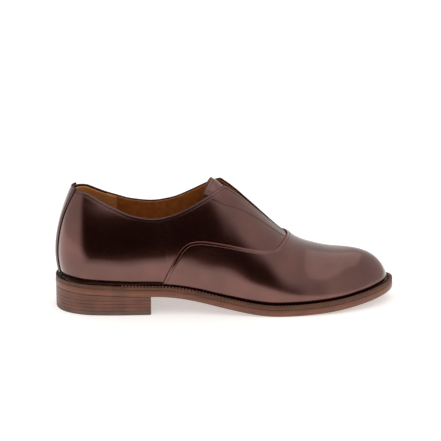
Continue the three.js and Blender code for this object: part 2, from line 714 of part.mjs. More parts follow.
function addTongue() {
  const widthAt = (fraction) => THREE.MathUtils.mapLinear(
    fraction, TONGUE.base, TONGUE.end, TONGUE.baseWidth, TONGUE.width,
  );
  const edgeLevel = (side, step, share) => {
    const rib = ribAt(side, step);
    return levelFromSpine(rib, share * widthAt(fractionAt(rib.foot.x)));
  };
  const arch = (side, step) => {
    const past = (fractionAt(ribAt(side, step).foot.x) - TONGUE.end) / TONGUE.arch;
    return edgeLevel(side, step, Math.sqrt(Math.max(0, 1 - past)));
  };
  const side = (s, step) => edgeLevel(s, step, 1);
  const triangles = bothSides(stepsBetween(stepAt(TONGUE.end), stepAt(TONGUE.base)), side, arch);
  const lowered = (depth) => (point) => depth
    + TONGUE.drop * THREE.MathUtils.smoothstep(-fractionAt(point.x), -TONGUE.base, -TONGUE.end);
  addPart('tongue', sheet(triangles, lowered(TONGUE_DEPTH), LEATHER), 'oxblood', 0.25);
  addPart('tongue_lining', sheet(triangles, lowered(TONGUE_LINING_DEPTH), LINING), 'tan', 0.6);
}

addHeel();
addSole();
addVamp();
addQuarter(LATERAL, 'lateral');
addQuarter(MEDIAL, 'medial');
addHeelLayers();
addTongue();

const box = new THREE.Box3().setFromObject(group);
const centre = box.getCenter(new THREE.Vector3());
group.position.set(-centre.x, -centre.y, -box.min.z);
group.updateMatrixWorld(true);

export default group;
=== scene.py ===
# %% [markdown]
# # A laceless leather oxford, finished around its fixed frame
# The frame holds the shoe's solids at their true places and sizes. This lesson lays the finished skin over them:
# polished leather, linings, rows of thread, a stacked heel and a stitched welt. Every surface is a function of two
# parameters on the same wooden last that the solids were drawn on, so each piece lands where its solid is, to within
# about two millimetres at the topline and the tongue's end.

# %% Load the frame
import math

import bpy
import numpy as np
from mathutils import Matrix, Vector


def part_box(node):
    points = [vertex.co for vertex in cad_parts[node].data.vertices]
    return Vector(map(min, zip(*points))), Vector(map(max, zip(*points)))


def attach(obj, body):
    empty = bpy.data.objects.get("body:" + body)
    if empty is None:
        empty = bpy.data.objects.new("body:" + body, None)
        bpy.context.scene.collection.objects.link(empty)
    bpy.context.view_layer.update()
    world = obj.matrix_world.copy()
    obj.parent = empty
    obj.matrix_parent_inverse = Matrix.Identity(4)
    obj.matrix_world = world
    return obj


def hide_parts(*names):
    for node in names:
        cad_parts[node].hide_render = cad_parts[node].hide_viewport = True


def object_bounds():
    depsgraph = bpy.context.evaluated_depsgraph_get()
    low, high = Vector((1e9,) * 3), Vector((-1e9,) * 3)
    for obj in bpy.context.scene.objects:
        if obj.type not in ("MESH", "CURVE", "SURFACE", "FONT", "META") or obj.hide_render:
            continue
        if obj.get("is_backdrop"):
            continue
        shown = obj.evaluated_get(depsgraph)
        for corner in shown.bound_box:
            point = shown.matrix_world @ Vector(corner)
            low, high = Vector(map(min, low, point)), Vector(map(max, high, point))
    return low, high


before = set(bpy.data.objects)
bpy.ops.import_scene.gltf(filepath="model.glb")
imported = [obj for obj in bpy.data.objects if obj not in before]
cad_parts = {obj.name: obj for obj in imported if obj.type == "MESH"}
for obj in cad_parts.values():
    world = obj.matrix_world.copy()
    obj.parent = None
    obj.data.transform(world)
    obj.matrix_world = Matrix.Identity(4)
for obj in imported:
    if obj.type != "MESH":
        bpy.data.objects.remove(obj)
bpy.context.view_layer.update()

MM = 0.001

# %% [markdown]
# ## Curves that a maker would draw
# A pattern cutter draws smooth lines through a few measured points. Here a cubic curve goes through the points
# without overshooting, and a narrow bell-shaped blur takes out the last kinks, because polished leather shows
# every kink in its reflections. The curve is kept as a fine table, so that whole arrays can be looked up at once.

# %% A curve through measured points


def bell(values, width):
    """Each value becomes the average of its neighbours, weighted by exp(-(distance / width)^2 / 2), in samples."""
    reach = int(4 * width) + 1
    offsets = np.arange(-reach, reach + 1)
    weights = np.exp(-0.5 * (offsets / max(width, 1e-6)) ** 2)
    return np.convolve(values, weights / weights.sum(), mode="valid")


def drawn(stations, blur=0.008):
    """A function of place: cubic Hermite pieces whose slopes are the harmonic means of the neighbouring secants,
    straight beyond the ends, blurred by a bell of the given width."""
    places, values = np.array(stations, float).T
    secants = np.diff(values) / np.diff(places)
    before, after = secants[:-1], secants[1:]
    total = np.where(before * after > 0, before + after, 1)
    inner = np.where(before * after > 0, 2 * before * after / total, 0)
    slopes = np.concatenate([secants[:1], inner, secants[-1:]])
    spacing = 0.0005
    pad = int(4 * blur / spacing) + 1
    table = -0.2 + spacing * np.arange(-pad, int(1.4 / spacing) + pad + 1)
    piece = np.clip(np.searchsorted(places, table, side="right") - 1, 0, len(places) - 2)
    span = places[piece + 1] - places[piece]
    t = np.clip((table - places[piece]) / span, 0, 1)
    curve = (
        values[piece] * (1 + 2 * t) * (1 - t) ** 2
        + slopes[piece] * span * t * (1 - t) ** 2
        + values[piece + 1] * t * t * (3 - 2 * t)
        + slopes[piece + 1] * span * t * t * (t - 1)
    )
    curve += slopes[0] * np.minimum(table - places[0], 0) + slopes[-1] * np.maximum(table - places[-1], 0)
    blurred = bell(curve, blur / spacing)
    shown = table[(len(table) - len(blurred)) // 2:][: len(blurred)]
    return lambda place: np.interp(place, shown, blurred)


def smoothstep(value, low, high):
    """0 below low, 1 above high, and 3t^2 - 2t^3 between them."""
    t = np.clip((value - low) / (high - low), 0, 1)
    return t * t * (3 - 2 * t)


# %% [markdown]
# ## The last
# A shoe is built on a last, a solid foot shape. This one is made of ribs: each starts at the feather edge, where
# upper and sole meet, and rises to the spine above the foot. A place on it is (around, level). Around is 0 at the
# heel's back, negative on the outer side and positive on the inner side, and reaches 1 at the toe from both.
# Level is 0 at the feather edge, 1 at the spine and below 0 on the margin that is turned under.

# %% Sizes of the last, in millimetres
LAST_LENGTH, BALL_BREADTH, HEEL_BACK = 258, 80, 4
INSTEP_HEIGHT, VAMP_HEIGHT, LASTING_MARGIN = 114, 41, 10
OUTER_BREADTHS = [0, 0.42, 0.655, 0.705, 0.71, 0.82, 0.94, 0.86, 0.6, 0.25, -0.12]
INNER_BREADTHS = [0, 0.42, 0.64, 0.655, 0.61, 0.8, 1.02, 0.99, 0.79, 0.46, 0.12]
SPINE_TOE_Y = 5
HEEL_FAN, TOE_FAN = (40, 10), (62, 27)
TREAD, BREAST = 0.66, 0.271
HEEL_HEIGHT, HEEL_PITCH, TOE_SPRING = 14.5, 3, 8.4
OUTSOLE, WELT, CLEARANCE = 5, 3, 0.3
QUARTER_DEPTH, LINING_DEPTH, HEEL_LINING_DEPTH, TONGUE_DEPTH, TONGUE_LINING_DEPTH = 1.7, 3.2, 4.5, 5.0, 6.5
LEATHER, LINING = 1.2, 0.8

spine_fall = drawn([[0, 0.03], [0.37, 0], [0.43, 0.02], [0.47, 0.08], [0.508, 0.18], [0.585, 0.445], [0.66, 0.7],
                    [0.69, 0.79], [0.715, 0.86], [0.75, 0.918], [0.806, 0.975], [0.864, 1]], 0.012)
fullness = drawn([[0, 0.72], [0.07, 1.15], [0.13, 1.5], [0.19, 1.42], [0.27, 1.05], [0.4, 0.95], [0.6, 1],
                  [1, 0.93]], 0.02)
side_bulge = drawn([[0, 5.3], [0.25, 4.5], [0.45, 3.2], [0.65, 2], [0.8, 0.8], [1, 0]], 0.02)
sole_margin = drawn([[0, 4], [0.2, 3.6], [0.38, 3], [0.55, 4], [0.7, 4.4], [1, 4]], 0.02)


def closed_outline():
    """The feather edge's y at each place around the foot, as one closed curve, so that heel and toe stay smooth."""
    count = 4000
    around = np.arange(count) * 2 / count - 1
    tenths = np.linspace(0, 1, 11)
    outer = drawn(list(zip(tenths, OUTER_BREADTHS)), 0.0005)(np.abs(around))
    inner = drawn(list(zip(tenths, INNER_BREADTHS)), 0.0005)(np.abs(around))
    y = np.where(around < 0, -outer, inner) * BALL_BREADTH / 2
    width = 0.014 * count / 2
    reach = int(4 * width) + 1
    smooth = bell(np.concatenate([y[-reach:], y, y[:reach]]), width)
    return np.append(around, 1), np.append(smooth, smooth[0])


OUTLINE_AROUND, OUTLINE_Y = closed_outline()


def wrapped(around):
    """The same place with around between -1 and 1."""
    return (np.asarray(around, float) + 1) % 2 - 1


def fraction_at(x):
    return (x - HEEL_BACK) / LAST_LENGTH


def step_at(fraction):
    """The step whose foot is at a fraction of the last's length: the inverse of (1 - cos(pi step)) / 2."""
    return np.arccos(1 - 2 * np.clip(fraction, 0, 1)) / np.pi


def sole_bottom_curve():
    """The height of the outsole's underside against the fraction of the length: heel seat, waist, tread, toe."""
    places = np.linspace(0, 1, 101)
    heel = HEEL_HEIGHT + HEEL_PITCH * (1 - places / BREAST)
    waist = HEEL_HEIGHT * (1 + np.cos(np.pi * np.clip((places - BREAST) / (TREAD - BREAST), 0, 1))) / 2
    toe = TOE_SPRING * np.clip((places - TREAD) / (1 - TREAD), 0, 1) ** 2
    heights = np.where(places < BREAST, heel, np.where(places < TREAD, waist, toe))
    return drawn(list(zip(places, heights)), 0.004)


sole_curve = sole_bottom_curve()


def sole_bottom(x):
    return sole_curve(fraction_at(x))


def outsole_top(x):
    return sole_bottom(x) + OUTSOLE


def foot_height(x):
    """The height where ribs start. The heel has no vamp layer, so its ribs start lower by that layer."""
    return outsole_top(x) + CLEARANCE - QUARTER_DEPTH * (1 - smoothstep(fraction_at(x), 0.21, 0.29))


def foot_edge(around):
    """The feather edge in plan: x from the cosine of the place around, y from the closed outline."""
    around = wrapped(around)
    x = HEEL_BACK + LAST_LENGTH * (1 - np.cos(np.pi * around)) / 2
    return np.stack([x, np.interp(around, OUTLINE_AROUND, OUTLINE_Y)], axis=-1)


def run_along(line):
    """The distance travelled to each point of a line, from the sum of the steps' lengths."""
    return np.concatenate([[0], np.cumsum(np.linalg.norm(np.diff(line, axis=0), axis=1))])


def unit(vectors):
    return vectors / np.maximum(np.linalg.norm(vectors, axis=-1, keepdims=True), 1e-12)


def edge_point(around, margin):
    """The feather edge moved outward in plan: its tangent turned a quarter turn, times the margin."""
    little = 1e-3
    along = foot_edge(np.asarray(around) + little) - foot_edge(np.asarray(around) - little)
    outward = unit(np.stack([-along[..., 1], along[..., 0]], axis=-1))
    return foot_edge(around) + outward * np.asarray(margin)[..., None]


def spine_place(x):
    """Where a rib's top is along the spine: above its foot, and gathered towards a centre at the heel and toe."""
    def fanned(distance, fan):
        share = np.clip(distance / fan[0], 0, 1)
        return fan[1] * (1 - (1 - share) ** (fan[0] / fan[1]))

    heel_edge = HEEL_BACK + HEEL_FAN[0]
    toe_edge = HEEL_BACK + LAST_LENGTH - TOE_FAN[0]
    back = heel_edge - fanned(heel_edge - x, HEEL_FAN)
    front = toe_edge + fanned(x - toe_edge, TOE_FAN)
    return np.where(x < heel_edge, back, np.where(x > toe_edge, front, x))


def ribs(around):
    """Each rib's foot and its height, its top's rise, its direction in plan and its reach to the spine."""
    foot = foot_edge(around)
    x = foot[..., 0]
    top_x = spine_place(x)
    top = np.stack([top_x, SPINE_TOE_Y * smoothstep(fraction_at(top_x), 0.5, 0.9)], axis=-1)
    height = INSTEP_HEIGHT - (INSTEP_HEIGHT - VAMP_HEIGHT) * spine_fall(fraction_at(top_x))
    foot_z = foot_height(x)
    reach = np.linalg.norm(top - foot, axis=-1)
    return foot, foot_z, height - foot_z, unit(top - foot), reach, fullness(fraction_at(x)), side_bulge(fraction_at(x))


def inset(rib, level):
    """How far inward of its foot a rib is: reach (1 - cos^fullness) less a bulge that is widest at a third up."""
    _, _, _, _, reach, full, bulge = rib
    angle = np.clip(level, 0, 1) * np.pi / 2
    height = np.sin(angle)
    return reach * (1 - np.maximum(np.cos(angle), 0) ** full) - bulge * 6.75 * height * (1 - height) ** 2


def on_last(around, level):
    """The last's surface. A level above 1 is past the spine, on the rib of the other side."""
    around, level = np.broadcast_arrays(wrapped(around), np.asarray(level, float))
    over = level > 1
    around, level = np.where(over, -around, around), np.where(over, 2 - level, level)
    rib = ribs(around)
    foot, foot_z, rise, inward, _, _, _ = rib
    inward_by = np.where(level < 0, -level * LASTING_MARGIN, inset(rib, level))
    plan = foot + inward * inward_by[..., None]
    raised = foot_z + rise * np.sin(np.clip(level, 0, 1) * np.pi / 2)
    return np.concatenate([plan, np.where(level < 0, foot_height(plan[..., 0]), raised)[..., None]], axis=-1)


def outward(around, level):
    """The last's normal: the cross product of its two partial differences, upward where they vanish."""
    little = 2e-3
    across = on_last(np.asarray(around) + little, level) - on_last(np.asarray(around) - little, level)
    up = on_last(around, np.asarray(level) + little) - on_last(around, np.asarray(level) - little)
    normal = np.cross(up, across)
    normal[..., 2] += 1e-7
    return unit(normal)


def laid(around, level, depth):
    """A place at a depth under the last's outer face."""
    return on_last(around, level) - outward(around, level) * np.asarray(depth)[..., None]


# %% [markdown]
# The solids' own origin is the middle of the shoe's footprint. Drawing the outsole's outline and comparing its box
# with the outsole's box in the frame gives the shift between the two, with nothing measured by eye.

# %% From the last to the frame
rim = edge_point(np.linspace(-1, 1, 801), sole_margin(fraction_at(foot_edge(np.linspace(-1, 1, 801))[:, 0])))
outsole_low, outsole_high = (np.array(corner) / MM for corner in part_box("outsole"))
ORIGIN = np.append((rim.max(0) + rim.min(0)) / 2 - (outsole_high[:2] + outsole_low[:2]) / 2, 0)
print("the last's heel lies this far behind the frame's origin, in mm:", ORIGIN.round(2))


# %% [markdown]
# ## Lines drawn on the last
# The upper's seams are lines on the last: the topline, the edges of the facings, and the swan-neck seam where the
# vamp laps over the quarters. Each is the level of the line at a place around the foot.

# %% Seams and edges
topline = drawn([[0, 96], [0.05, 94.8], [0.1, 91], [0.16, 84.5], [0.22, 78.4], [0.28, 76.3], [0.34, 78.8],
                 [0.4, 85.4], [0.45, 92.2], [0.5, 98.5]])
swan_neck = drawn([[0.3, 19], [0.331, 37], [0.349, 46], [0.367, 53], [0.391, 57.2], [0.42, 58.2], [0.456, 57.3],
                   [0.5, 55.4], [0.54, 53.2], [0.575, 51.5], [0.611, 50], [0.645, 49.4]], 0.004)
strip_end = drawn([[0.03, 0.036], [0.35, 0.042], [0.7, 0.09]], 0.02)
FACING_TOP, THROAT, THROAT_TURN, SLIT_HALF_WIDTH = 0.5, 0.692, 0.642, 10
VAMP_START, LAP, QUARTER_END, LINING_START, LINING_JOIN, HEEL_LINING_END = 0.308, 6, 0.706, 0.348, 0.143, 0.17
GORE_START, GORE_WIDTH, GORE_END, WELT_START = 0.475, 10, 0.675, 0.165
TONGUE_BASE, TONGUE_END, TONGUE_ARCH, TONGUE_DROP = 0.725, 0.435, 0.04, 2.4
TONGUE_HALF_WIDTHS = 16, 18.5


def foot_fraction(around):
    return fraction_at(foot_edge(around)[..., 0])


def level_at_height(around, z):
    """The level where a rib passes a height."""
    _, foot_z, rise, _, _, _, _ = ribs(around)
    return np.arcsin(np.clip((z - foot_z) / rise, 0, 1)) * 2 / np.pi


def level_from_spine(around, distance):
    """The level at a distance from the spine, before the side's bulge."""
    _, _, _, _, reach, full, _ = ribs(around)
    return np.arccos(np.clip(distance / reach, 0, 1) ** (1 / full)) * 2 / np.pi


def seam_level(around):
    """The swan neck's level, and past the turn a quarter ellipse that closes it on the spine at the throat."""
    along = foot_fraction(around)
    level = level_at_height(around, swan_neck(np.minimum(along, THROAT_TURN)))
    _, _, _, _, reach, full, _ = ribs(around)
    turn = np.clip((along - THROAT_TURN) / (THROAT - THROAT_TURN), 0, 1)
    distance = reach * np.cos(level * np.pi / 2) ** full * np.sqrt(1 - turn * turn)
    return np.where(along <= THROAT_TURN, level, level_from_spine(around, distance))


def lap_level(around, drop=0):
    """The level of a quarter's lower edge, a lap's width under the vamp's."""
    sign = np.where(wrapped(around) < 0, -1, 1)
    x = foot_edge(around)[..., 0] - LAP
    behind = sign * step_at(fraction_at(x))
    seam = on_last(behind, seam_level(behind))[..., 2]
    past = x - (HEEL_BACK + LAST_LENGTH * 0.3)
    return np.where(past < 0, np.clip(past / LASTING_MARGIN, -1, 0), level_at_height(around, seam - LAP - drop))


def beside_facing(around, distance):
    """The level of a line at a distance outside the facing's edge."""
    opened = np.clip((THROAT - foot_fraction(around)) / (THROAT - FACING_TOP), 0, 1)
    return level_from_spine(around, CLEARANCE + (SLIT_HALF_WIDTH - CLEARANCE) * opened + distance)


INNER_RISE, OUTER_FALL = 2.2, 0.9  # the ankle bone sits lower on the outer side, so its topline is cut lower


def upper_edge(around, distance=0.0, below=0.0):
    """The quarter's free edge: the lower of topline and facing, with the corner between them rounded."""
    along = foot_fraction(around)
    higher = np.where(np.asarray(around) > 0, INNER_RISE, -OUTER_FALL * (1 - smoothstep(along, 0.36, 0.47)))
    shown = level_at_height(around, topline(along) + higher * smoothstep(along, 0.03, 0.24) - below)
    facing = beside_facing(around, distance)
    softness = 0.008
    return -softness * np.logaddexp(-shown / softness, -facing / softness)


# %% [markdown]
# ## Leather as a closed sheet
# A cut piece of leather is a surface with a thickness and a rounded edge. Solidify could give the thickness, but
# the real pieces are skived: pared thin towards their seams. So the outer and inner faces are computed apart, and
# the wall between them is an arc along every open edge.

# %% Joining grids into a closed sheet


def grid_faces(rows, columns, start=0):
    """The four corners of each cell of a grid whose points are numbered row by row."""
    index = start + np.arange(rows * columns).reshape(rows, columns)
    return np.stack([index[:-1, :-1], index[1:, :-1], index[1:, 1:], index[:-1, 1:]], axis=-1).reshape(-1, 4)


def in_scene(name, data):
    """A new object with this data, linked to the scene."""
    made = bpy.data.objects.new(name, data)
    bpy.context.scene.collection.objects.link(made)
    return made


def make_piece(name, points, faces, attributes=None):
    """A smooth mesh object at the origin from points in millimetres on the last, with its place in its mesh."""
    faces = np.asarray(faces)
    keep = [list(dict.fromkeys(face)) for face in faces.tolist()]
    keep = [face for face in keep if len(face) > 2]
    mesh = bpy.data.meshes.new(name)
    mesh.from_pydata(((points - ORIGIN) * MM).tolist(), [], keep)
    for key, values in (attributes or {}).items():
        mesh.attributes.new(key, "FLOAT", "POINT").data.foreach_set("value", np.asarray(values, np.float32).ravel())
    mesh.polygons.foreach_set("use_smooth", np.full(len(mesh.polygons), True))
    mesh.validate()
    mesh.update()
    return in_scene(name, mesh)


def facing_out(points, faces):
    """The same faces, turned over if their signed volume, the sum of corner products, is negative."""
    a, b, c, d = (points[faces[:, k]] for k in range(4))
    volume = np.einsum("ij,ij->", a, np.cross(b, c)) + np.einsum("ij,ij->", a, np.cross(c, d))
    return faces if volume > 0 else faces[:, ::-1]


def sheet(name, layers, attributes=None, roundness=1.0):
    """A closed sheet from grids of (outer points, inner points): corners nearer than a hundredth of a millimetre
    are joined, and each open edge gets a wall of arcs, middle + half cos(angle) + edge direction sin(angle)."""
    outer = np.concatenate([out.reshape(-1, 3) for out, _ in layers])
    inner = np.concatenate([under.reshape(-1, 3) for _, under in layers])
    faces, start = [], 0
    for out, under in layers:
        part = grid_faces(*out.shape[:2], 0)
        corners, through = out.reshape(-1, 3)[part], (out - under).reshape(-1, 3)[part[:, 0]]
        turned = np.sum(np.cross(corners[:, 2] - corners[:, 0], corners[:, 3] - corners[:, 1]) * through) < 0
        faces.append((part[:, ::-1] if turned else part) + start)
        start += out.shape[0] * out.shape[1]
    _, first, inverse = np.unique(np.round(outer / 0.01), axis=0, return_index=True, return_inverse=True)
    faces = inverse.reshape(-1)[np.concatenate(faces)]
    outer, inner = outer[first], inner[first]
    values = {key: np.concatenate([v.reshape(-1) for v in given])[first] for key, given in (attributes or {}).items()}
    count = len(outer)
    corners = outer[faces]
    normal = unit(np.cross(corners[:, 2] - corners[:, 0], corners[:, 3] - corners[:, 1]))
    edges = np.stack([faces, np.roll(faces, -1, axis=1)], axis=-1).reshape(-1, 2)
    owner = np.repeat(np.arange(len(faces)), 4)
    real = edges[:, 0] != edges[:, 1]
    edges, owner = edges[real], owner[real]
    open_edge = ~np.isin(edges[:, 0] * count + edges[:, 1], edges[:, 1] * count + edges[:, 0])
    edges, owner = edges[open_edge], owner[open_edge]
    away = np.zeros_like(outer)
    aside = np.cross(outer[edges[:, 1]] - outer[edges[:, 0]], normal[owner])
    np.add.at(away, edges[:, 0], aside)
    np.add.at(away, edges[:, 1], aside)
    away = unit(away)
    rim = np.unique(edges)
    arcs = 3
    angles = np.pi * np.arange(1, arcs + 1) / (arcs + 1)
    middle, half = (outer + inner)[rim] / 2, (outer - inner)[rim] / 2
    thick = np.linalg.norm(half, axis=1)[:, None]
    walls = [middle + half * np.cos(g) + away[rim] * thick * np.sin(g) * roundness for g in angles]
    where = np.full(count, -1)
    where[rim] = np.arange(len(rim))
    rows = [edges] + [2 * count + k * len(rim) + where[edges] for k in range(arcs)] + [edges + count]
    wall_faces = [np.stack([p[:, 1], p[:, 0], q[:, 0], q[:, 1]], axis=1) for p, q in zip(rows, rows[1:])]
    points = np.concatenate([outer, inner, *walls])
    whole = np.concatenate([faces, faces[:, ::-1] + count, *wall_faces])
    full = {key: np.concatenate([v, v] + [v[rim]] * arcs) for key, v in values.items()}
    full["edge"] = np.concatenate([np.zeros(2 * count), np.ones(arcs * len(rim))])
    return make_piece(name, points, whole, full)


def per_row(around, rows):
    """The same places around, repeated for each of the rows of levels."""
    return np.repeat(around[:, None], rows, axis=1)


def levels_between(low, top, count, crowd=1.0):
    """Levels from each column's low to its top. A crowd above 1 gathers the rows near the top."""
    share = 1 - (1 - np.linspace(0, 1, count)) ** crowd
    return low[:, None] + (top - low)[:, None] * share


def even_along(around, level, count):
    """Places around that are equally spaced along a line drawn on the last."""
    length = run_along(on_last(around, level))
    return np.interp(np.linspace(0, length[-1], count), length, around)


def distance_to(points, line):
    """The distance from each point to the nearest sample of a line, from |p|^2 + |q|^2 - 2 p.q."""
    flat = points.reshape(-1, 3)
    squared = (flat ** 2).sum(1)[:, None] + (line ** 2).sum(1) - 2 * flat @ line.T
    return np.sqrt(np.maximum(squared.min(1), 0)).reshape(points.shape[:-1])


print("a sheet of leather is", LEATHER, "mm thick, and its lining", LINING, "mm")

# %% [markdown]
# ## Where the thread runs
# Each row of thread follows an edge at a fixed distance. The line is first moved sideways in space, and then a
# few steps of Newton's method bring each point back down to the last, so that no stitch floats or sinks.

# %% Lines for the thread


def settled(targets, around, level):
    """The places on the last nearest to target points: three Gauss-Newton steps on (around, level)."""
    little = 1e-4
    for _ in range(3):
        here = on_last(around, level)
        across = (on_last(around + little, level) - here) / little
        up = (on_last(around, level + little) - here) / little
        miss = targets - here
        aa, ab, bb = (across ** 2).sum(1), (across * up).sum(1), (up ** 2).sum(1)
        am, bm = (across * miss).sum(1), (up * miss).sum(1)
        scale = aa * bb - ab * ab + 1e-9
        around = around + (am * bb - bm * ab) / scale
        level = level + (bm * aa - am * ab) / scale
    return around, level


def seam_places(count=900):
    """Places around for one side's swan neck, crowded at the throat, where the seam turns quickly."""
    straight = np.linspace(VAMP_START, THROAT_TURN, count // 2)
    turning = THROAT_TURN + (THROAT - THROAT_TURN) * np.sin(np.linspace(0, np.pi / 2, count // 2))
    return step_at(np.concatenate([straight, turning[1:]]))


def beside_line(around, level, distance):
    """A line on the last moved sideways by a distance, as (around, level)."""
    line = on_last(around, level)
    along = unit(np.gradient(line, axis=0))
    return settled(line + np.cross(outward(around, level), along) * distance, around, level)


neck = seam_places()
neck_around = np.concatenate([-neck, neck[::-1][1:]])
neck_level = seam_level(neck_around)
neck_level = np.where(np.abs(np.abs(neck_around) - neck[-1]) < 1e-9, 1.0, neck_level)
seam_line = on_last(neck_around, neck_level)
NECK_STITCH = 2.0
print("the swan-neck seam is", round(float(run_along(seam_line)[-1])), "mm long")

# %% [markdown]
# ## The vamp
# The vamp covers the toe and laps over both quarters along the swan neck. Its columns are spaced evenly along that
# seam, so the curve stays crisp, and its edge is skived: the outer face dips and the inner face comes down onto the
# quarters over the last few millimetres. The two halves meet along the spine and at the toe, where they are joined.

# %% Make the vamp


def relief(points):
    """The slight unevenness of lasted leather: three long crossing waves, a tenth of a millimetre high in all."""
    x, y, z = np.moveaxis(points, -1, 0)
    waves = 0.05 * np.sin(x / 5.1 + z / 7.3) + 0.04 * np.sin(x / 8.7 - z / 4.1 + y / 9)
    return waves + 0.03 * np.sin(x / 3.3 + y / 6.1)


TUCK, TUCK_FROM, TUCK_TO = 0.9, -0.8, 2.4  # how far the upper turns in, and between which heights above the welt


def tuck(points):
    """How far the upper turns in where it meets the welt, by its height above the welt's top."""
    above = points[..., 2] - outsole_top(points[..., 0]) - CLEARANCE - WELT
    return TUCK * (1 - smoothstep(above, TUCK_FROM, TUCK_TO))


stitch_around, stitch_level = beside_line(neck_around, neck_level, -NECK_STITCH)
neck_stitches = on_last(stitch_around, stitch_level)
seam_steps = even_along(neck, seam_level(neck), 170)
TURNED_UNDER = -0.3  # the level where the margin under the shoe ends
vamp_steps = np.concatenate([seam_steps, np.linspace(seam_steps[-1], 1, 90)[1:]])


def vamp_half(side):
    """One half of the vamp's outer and inner faces, and its distances from the row of thread."""
    around = side * vamp_steps
    top = np.where(vamp_steps < seam_steps[-1] - 1e-9, seam_level(around), 1.0)
    level = levels_between(np.full(len(around), TURNED_UNDER), top, 74, 1.15)
    around = per_row(around, level.shape[1])
    flat = on_last(around, level)
    edge = distance_to(flat, seam_line)
    dip = 0.5 * (1 - smoothstep(edge, 0, 2.6)) + 0.12 * np.exp(-(distance_to(flat, neck_stitches) / 0.5) ** 2)
    outer = laid(around, level, dip + tuck(flat) - relief(flat) * smoothstep(edge, 0, 8))
    inner = laid(around, level, LEATHER + tuck(flat) + 0.38 * (1 - smoothstep(edge, 0, 5)))
    return (outer, inner), distance_to(flat, neck_stitches)


halves = [vamp_half(side) for side in (-1, 1)]
vamp = sheet("vamp_leather", [half[0] for half in halves], {"thread": [half[1] for half in halves]}, 0.8)
print("the vamp has", len(vamp.data.polygons), "faces")

# %% [markdown]
# ## The quarters and the back strip
# A quarter runs from the back seam to under the vamp, and ends above in the topline and the facing. The leather
# pulls into a few short creases under the topline where the shoe flexes at the waist.

# %% Make the quarters
# each crease: its place along the shoe as a fraction, and its depth
CREASES = [(0.248, 0.05), (0.273, 0.1), (0.301, 0.06), (0.322, 0.12), (0.331, 0.07)]
TOPLINE_STITCH, FACING_STITCH, GORE_STITCH = 1.9, 1.7, 9.8  # from the edge to each row of thread
FACING_CORNER, GORE_CORNER = 0.484, 0.458  # where the rows beside the facing leave the topline's row


def creases(around, level):
    """Short hollows below the topline: a bell across each, fading in below the edge and out further down."""
    along = foot_fraction(around)
    below = topline(along) - on_last(around, level)[..., 2]
    fade = smoothstep(below, 2, 5) * (1 - smoothstep(below, 9, 17))
    slanted = [((along - place) * LAST_LENGTH - 0.16 * below) / 1.1 for place, _ in CREASES]
    return sum(depth * np.exp(-slant ** 2) for slant, (_, depth) in zip(slanted, CREASES)) * fade


def topline_thread(side):
    """The row below the topline, as (around, level), up to the facing's corner."""
    around = side * np.linspace(0.014, step_at(FACING_CORNER), 500)
    return around, upper_edge(around, TOPLINE_STITCH, TOPLINE_STITCH)


def facing_thread(side, distance, start):
    """A row beside the facing, as (around, level), until it goes under the vamp."""
    around = side * step_at(np.linspace(start, THROAT - 0.001, 500))
    level = upper_edge(around, distance, TOPLINE_STITCH)
    seen = level > seam_level(around) + 0.01
    seen |= np.cumsum(~seen) < 1
    return around[seen], level[seen]


def quarter_rows(side):
    """The three rows of thread on a quarter: topline, facing edge, and where the elastic is sewn on."""
    beside = [facing_thread(side, FACING_STITCH, FACING_CORNER), facing_thread(side, GORE_STITCH, GORE_CORNER)]
    return [topline_thread(side), *beside]


def quarter(side, name):
    """The quarter's two faces and its distances from its rows of thread."""
    fine = side * np.linspace(0.0012, step_at(QUARTER_END), 3000)
    columns = even_along(fine, upper_edge(fine), 300)
    level = levels_between(np.maximum(lap_level(columns), TURNED_UNDER), upper_edge(columns), 72, 1.2)
    around = per_row(columns, level.shape[1])
    flat = on_last(around, level)
    thread = np.min([distance_to(flat, on_last(*row)) for row in quarter_rows(side)], axis=0)
    edge = distance_to(flat, on_last(fine[::4], upper_edge(fine[::4])))
    hollow = creases(around, level) + 0.1 * np.exp(-(thread / 0.5) ** 2) - relief(flat) * smoothstep(edge, 0, 8)
    lap = 0.1 * (1 - smoothstep(edge, 0, 1.5))
    outer = laid(around, level, QUARTER_DEPTH + hollow + lap + tuck(flat))
    inner = laid(around, level, QUARTER_DEPTH + LEATHER + 0.15 + tuck(flat))
    return sheet(f"quarter_leather_{name}", [(outer, inner)], {"thread": [thread]})


quarters = {name: quarter(side, name) for side, name in ((-1, "outer"), (1, "inner"))}


STRIP_DEPTH, STRIP_STITCH = 0.35, 1.7  # under the last's face, and from its long edges to the thread


def back_strip_piece():
    """The strip over the back seam: a share of its half-width at each level, pared thin at its long edges."""
    share = np.linspace(-1, 1, 41)[:, None]
    low = float(level_at_height(0.0, outsole_top(HEEL_BACK) + WELT + 0.4))
    top = upper_edge(0.5 * strip_end(0.6) * share[:, 0], 0, -0.7)
    level = levels_between(np.full(41, low), top, 110)
    around = share * strip_end(level)
    flat = on_last(around, level)
    edge = (1 - np.abs(share)) * np.abs(foot_edge(strip_end(level))[..., 1])
    outer = laid(around, level, STRIP_DEPTH + tuck(flat) + 0.6 * (1 - smoothstep(edge, 0, 1.6)) - relief(flat) * 0.5)
    inner = laid(around, level, STRIP_DEPTH + LEATHER + tuck(flat))
    strip = sheet("back_strip_leather", [(outer, inner)], {"thread": [np.abs(edge - STRIP_STITCH)]})
    rows = []
    for side in (-1, 1):
        row_level = np.linspace(low + 0.01, float(top[0]) - 0.01, 300)
        reach = strip_end(row_level)
        rows.append((side * reach * (1 - STRIP_STITCH / np.abs(foot_edge(reach)[..., 1])), row_level))
    return strip, rows


back_strip, strip_rows = back_strip_piece()
print("quarters and back strip:", [len(o.data.polygons) for o in (*quarters.values(), back_strip)], "faces")

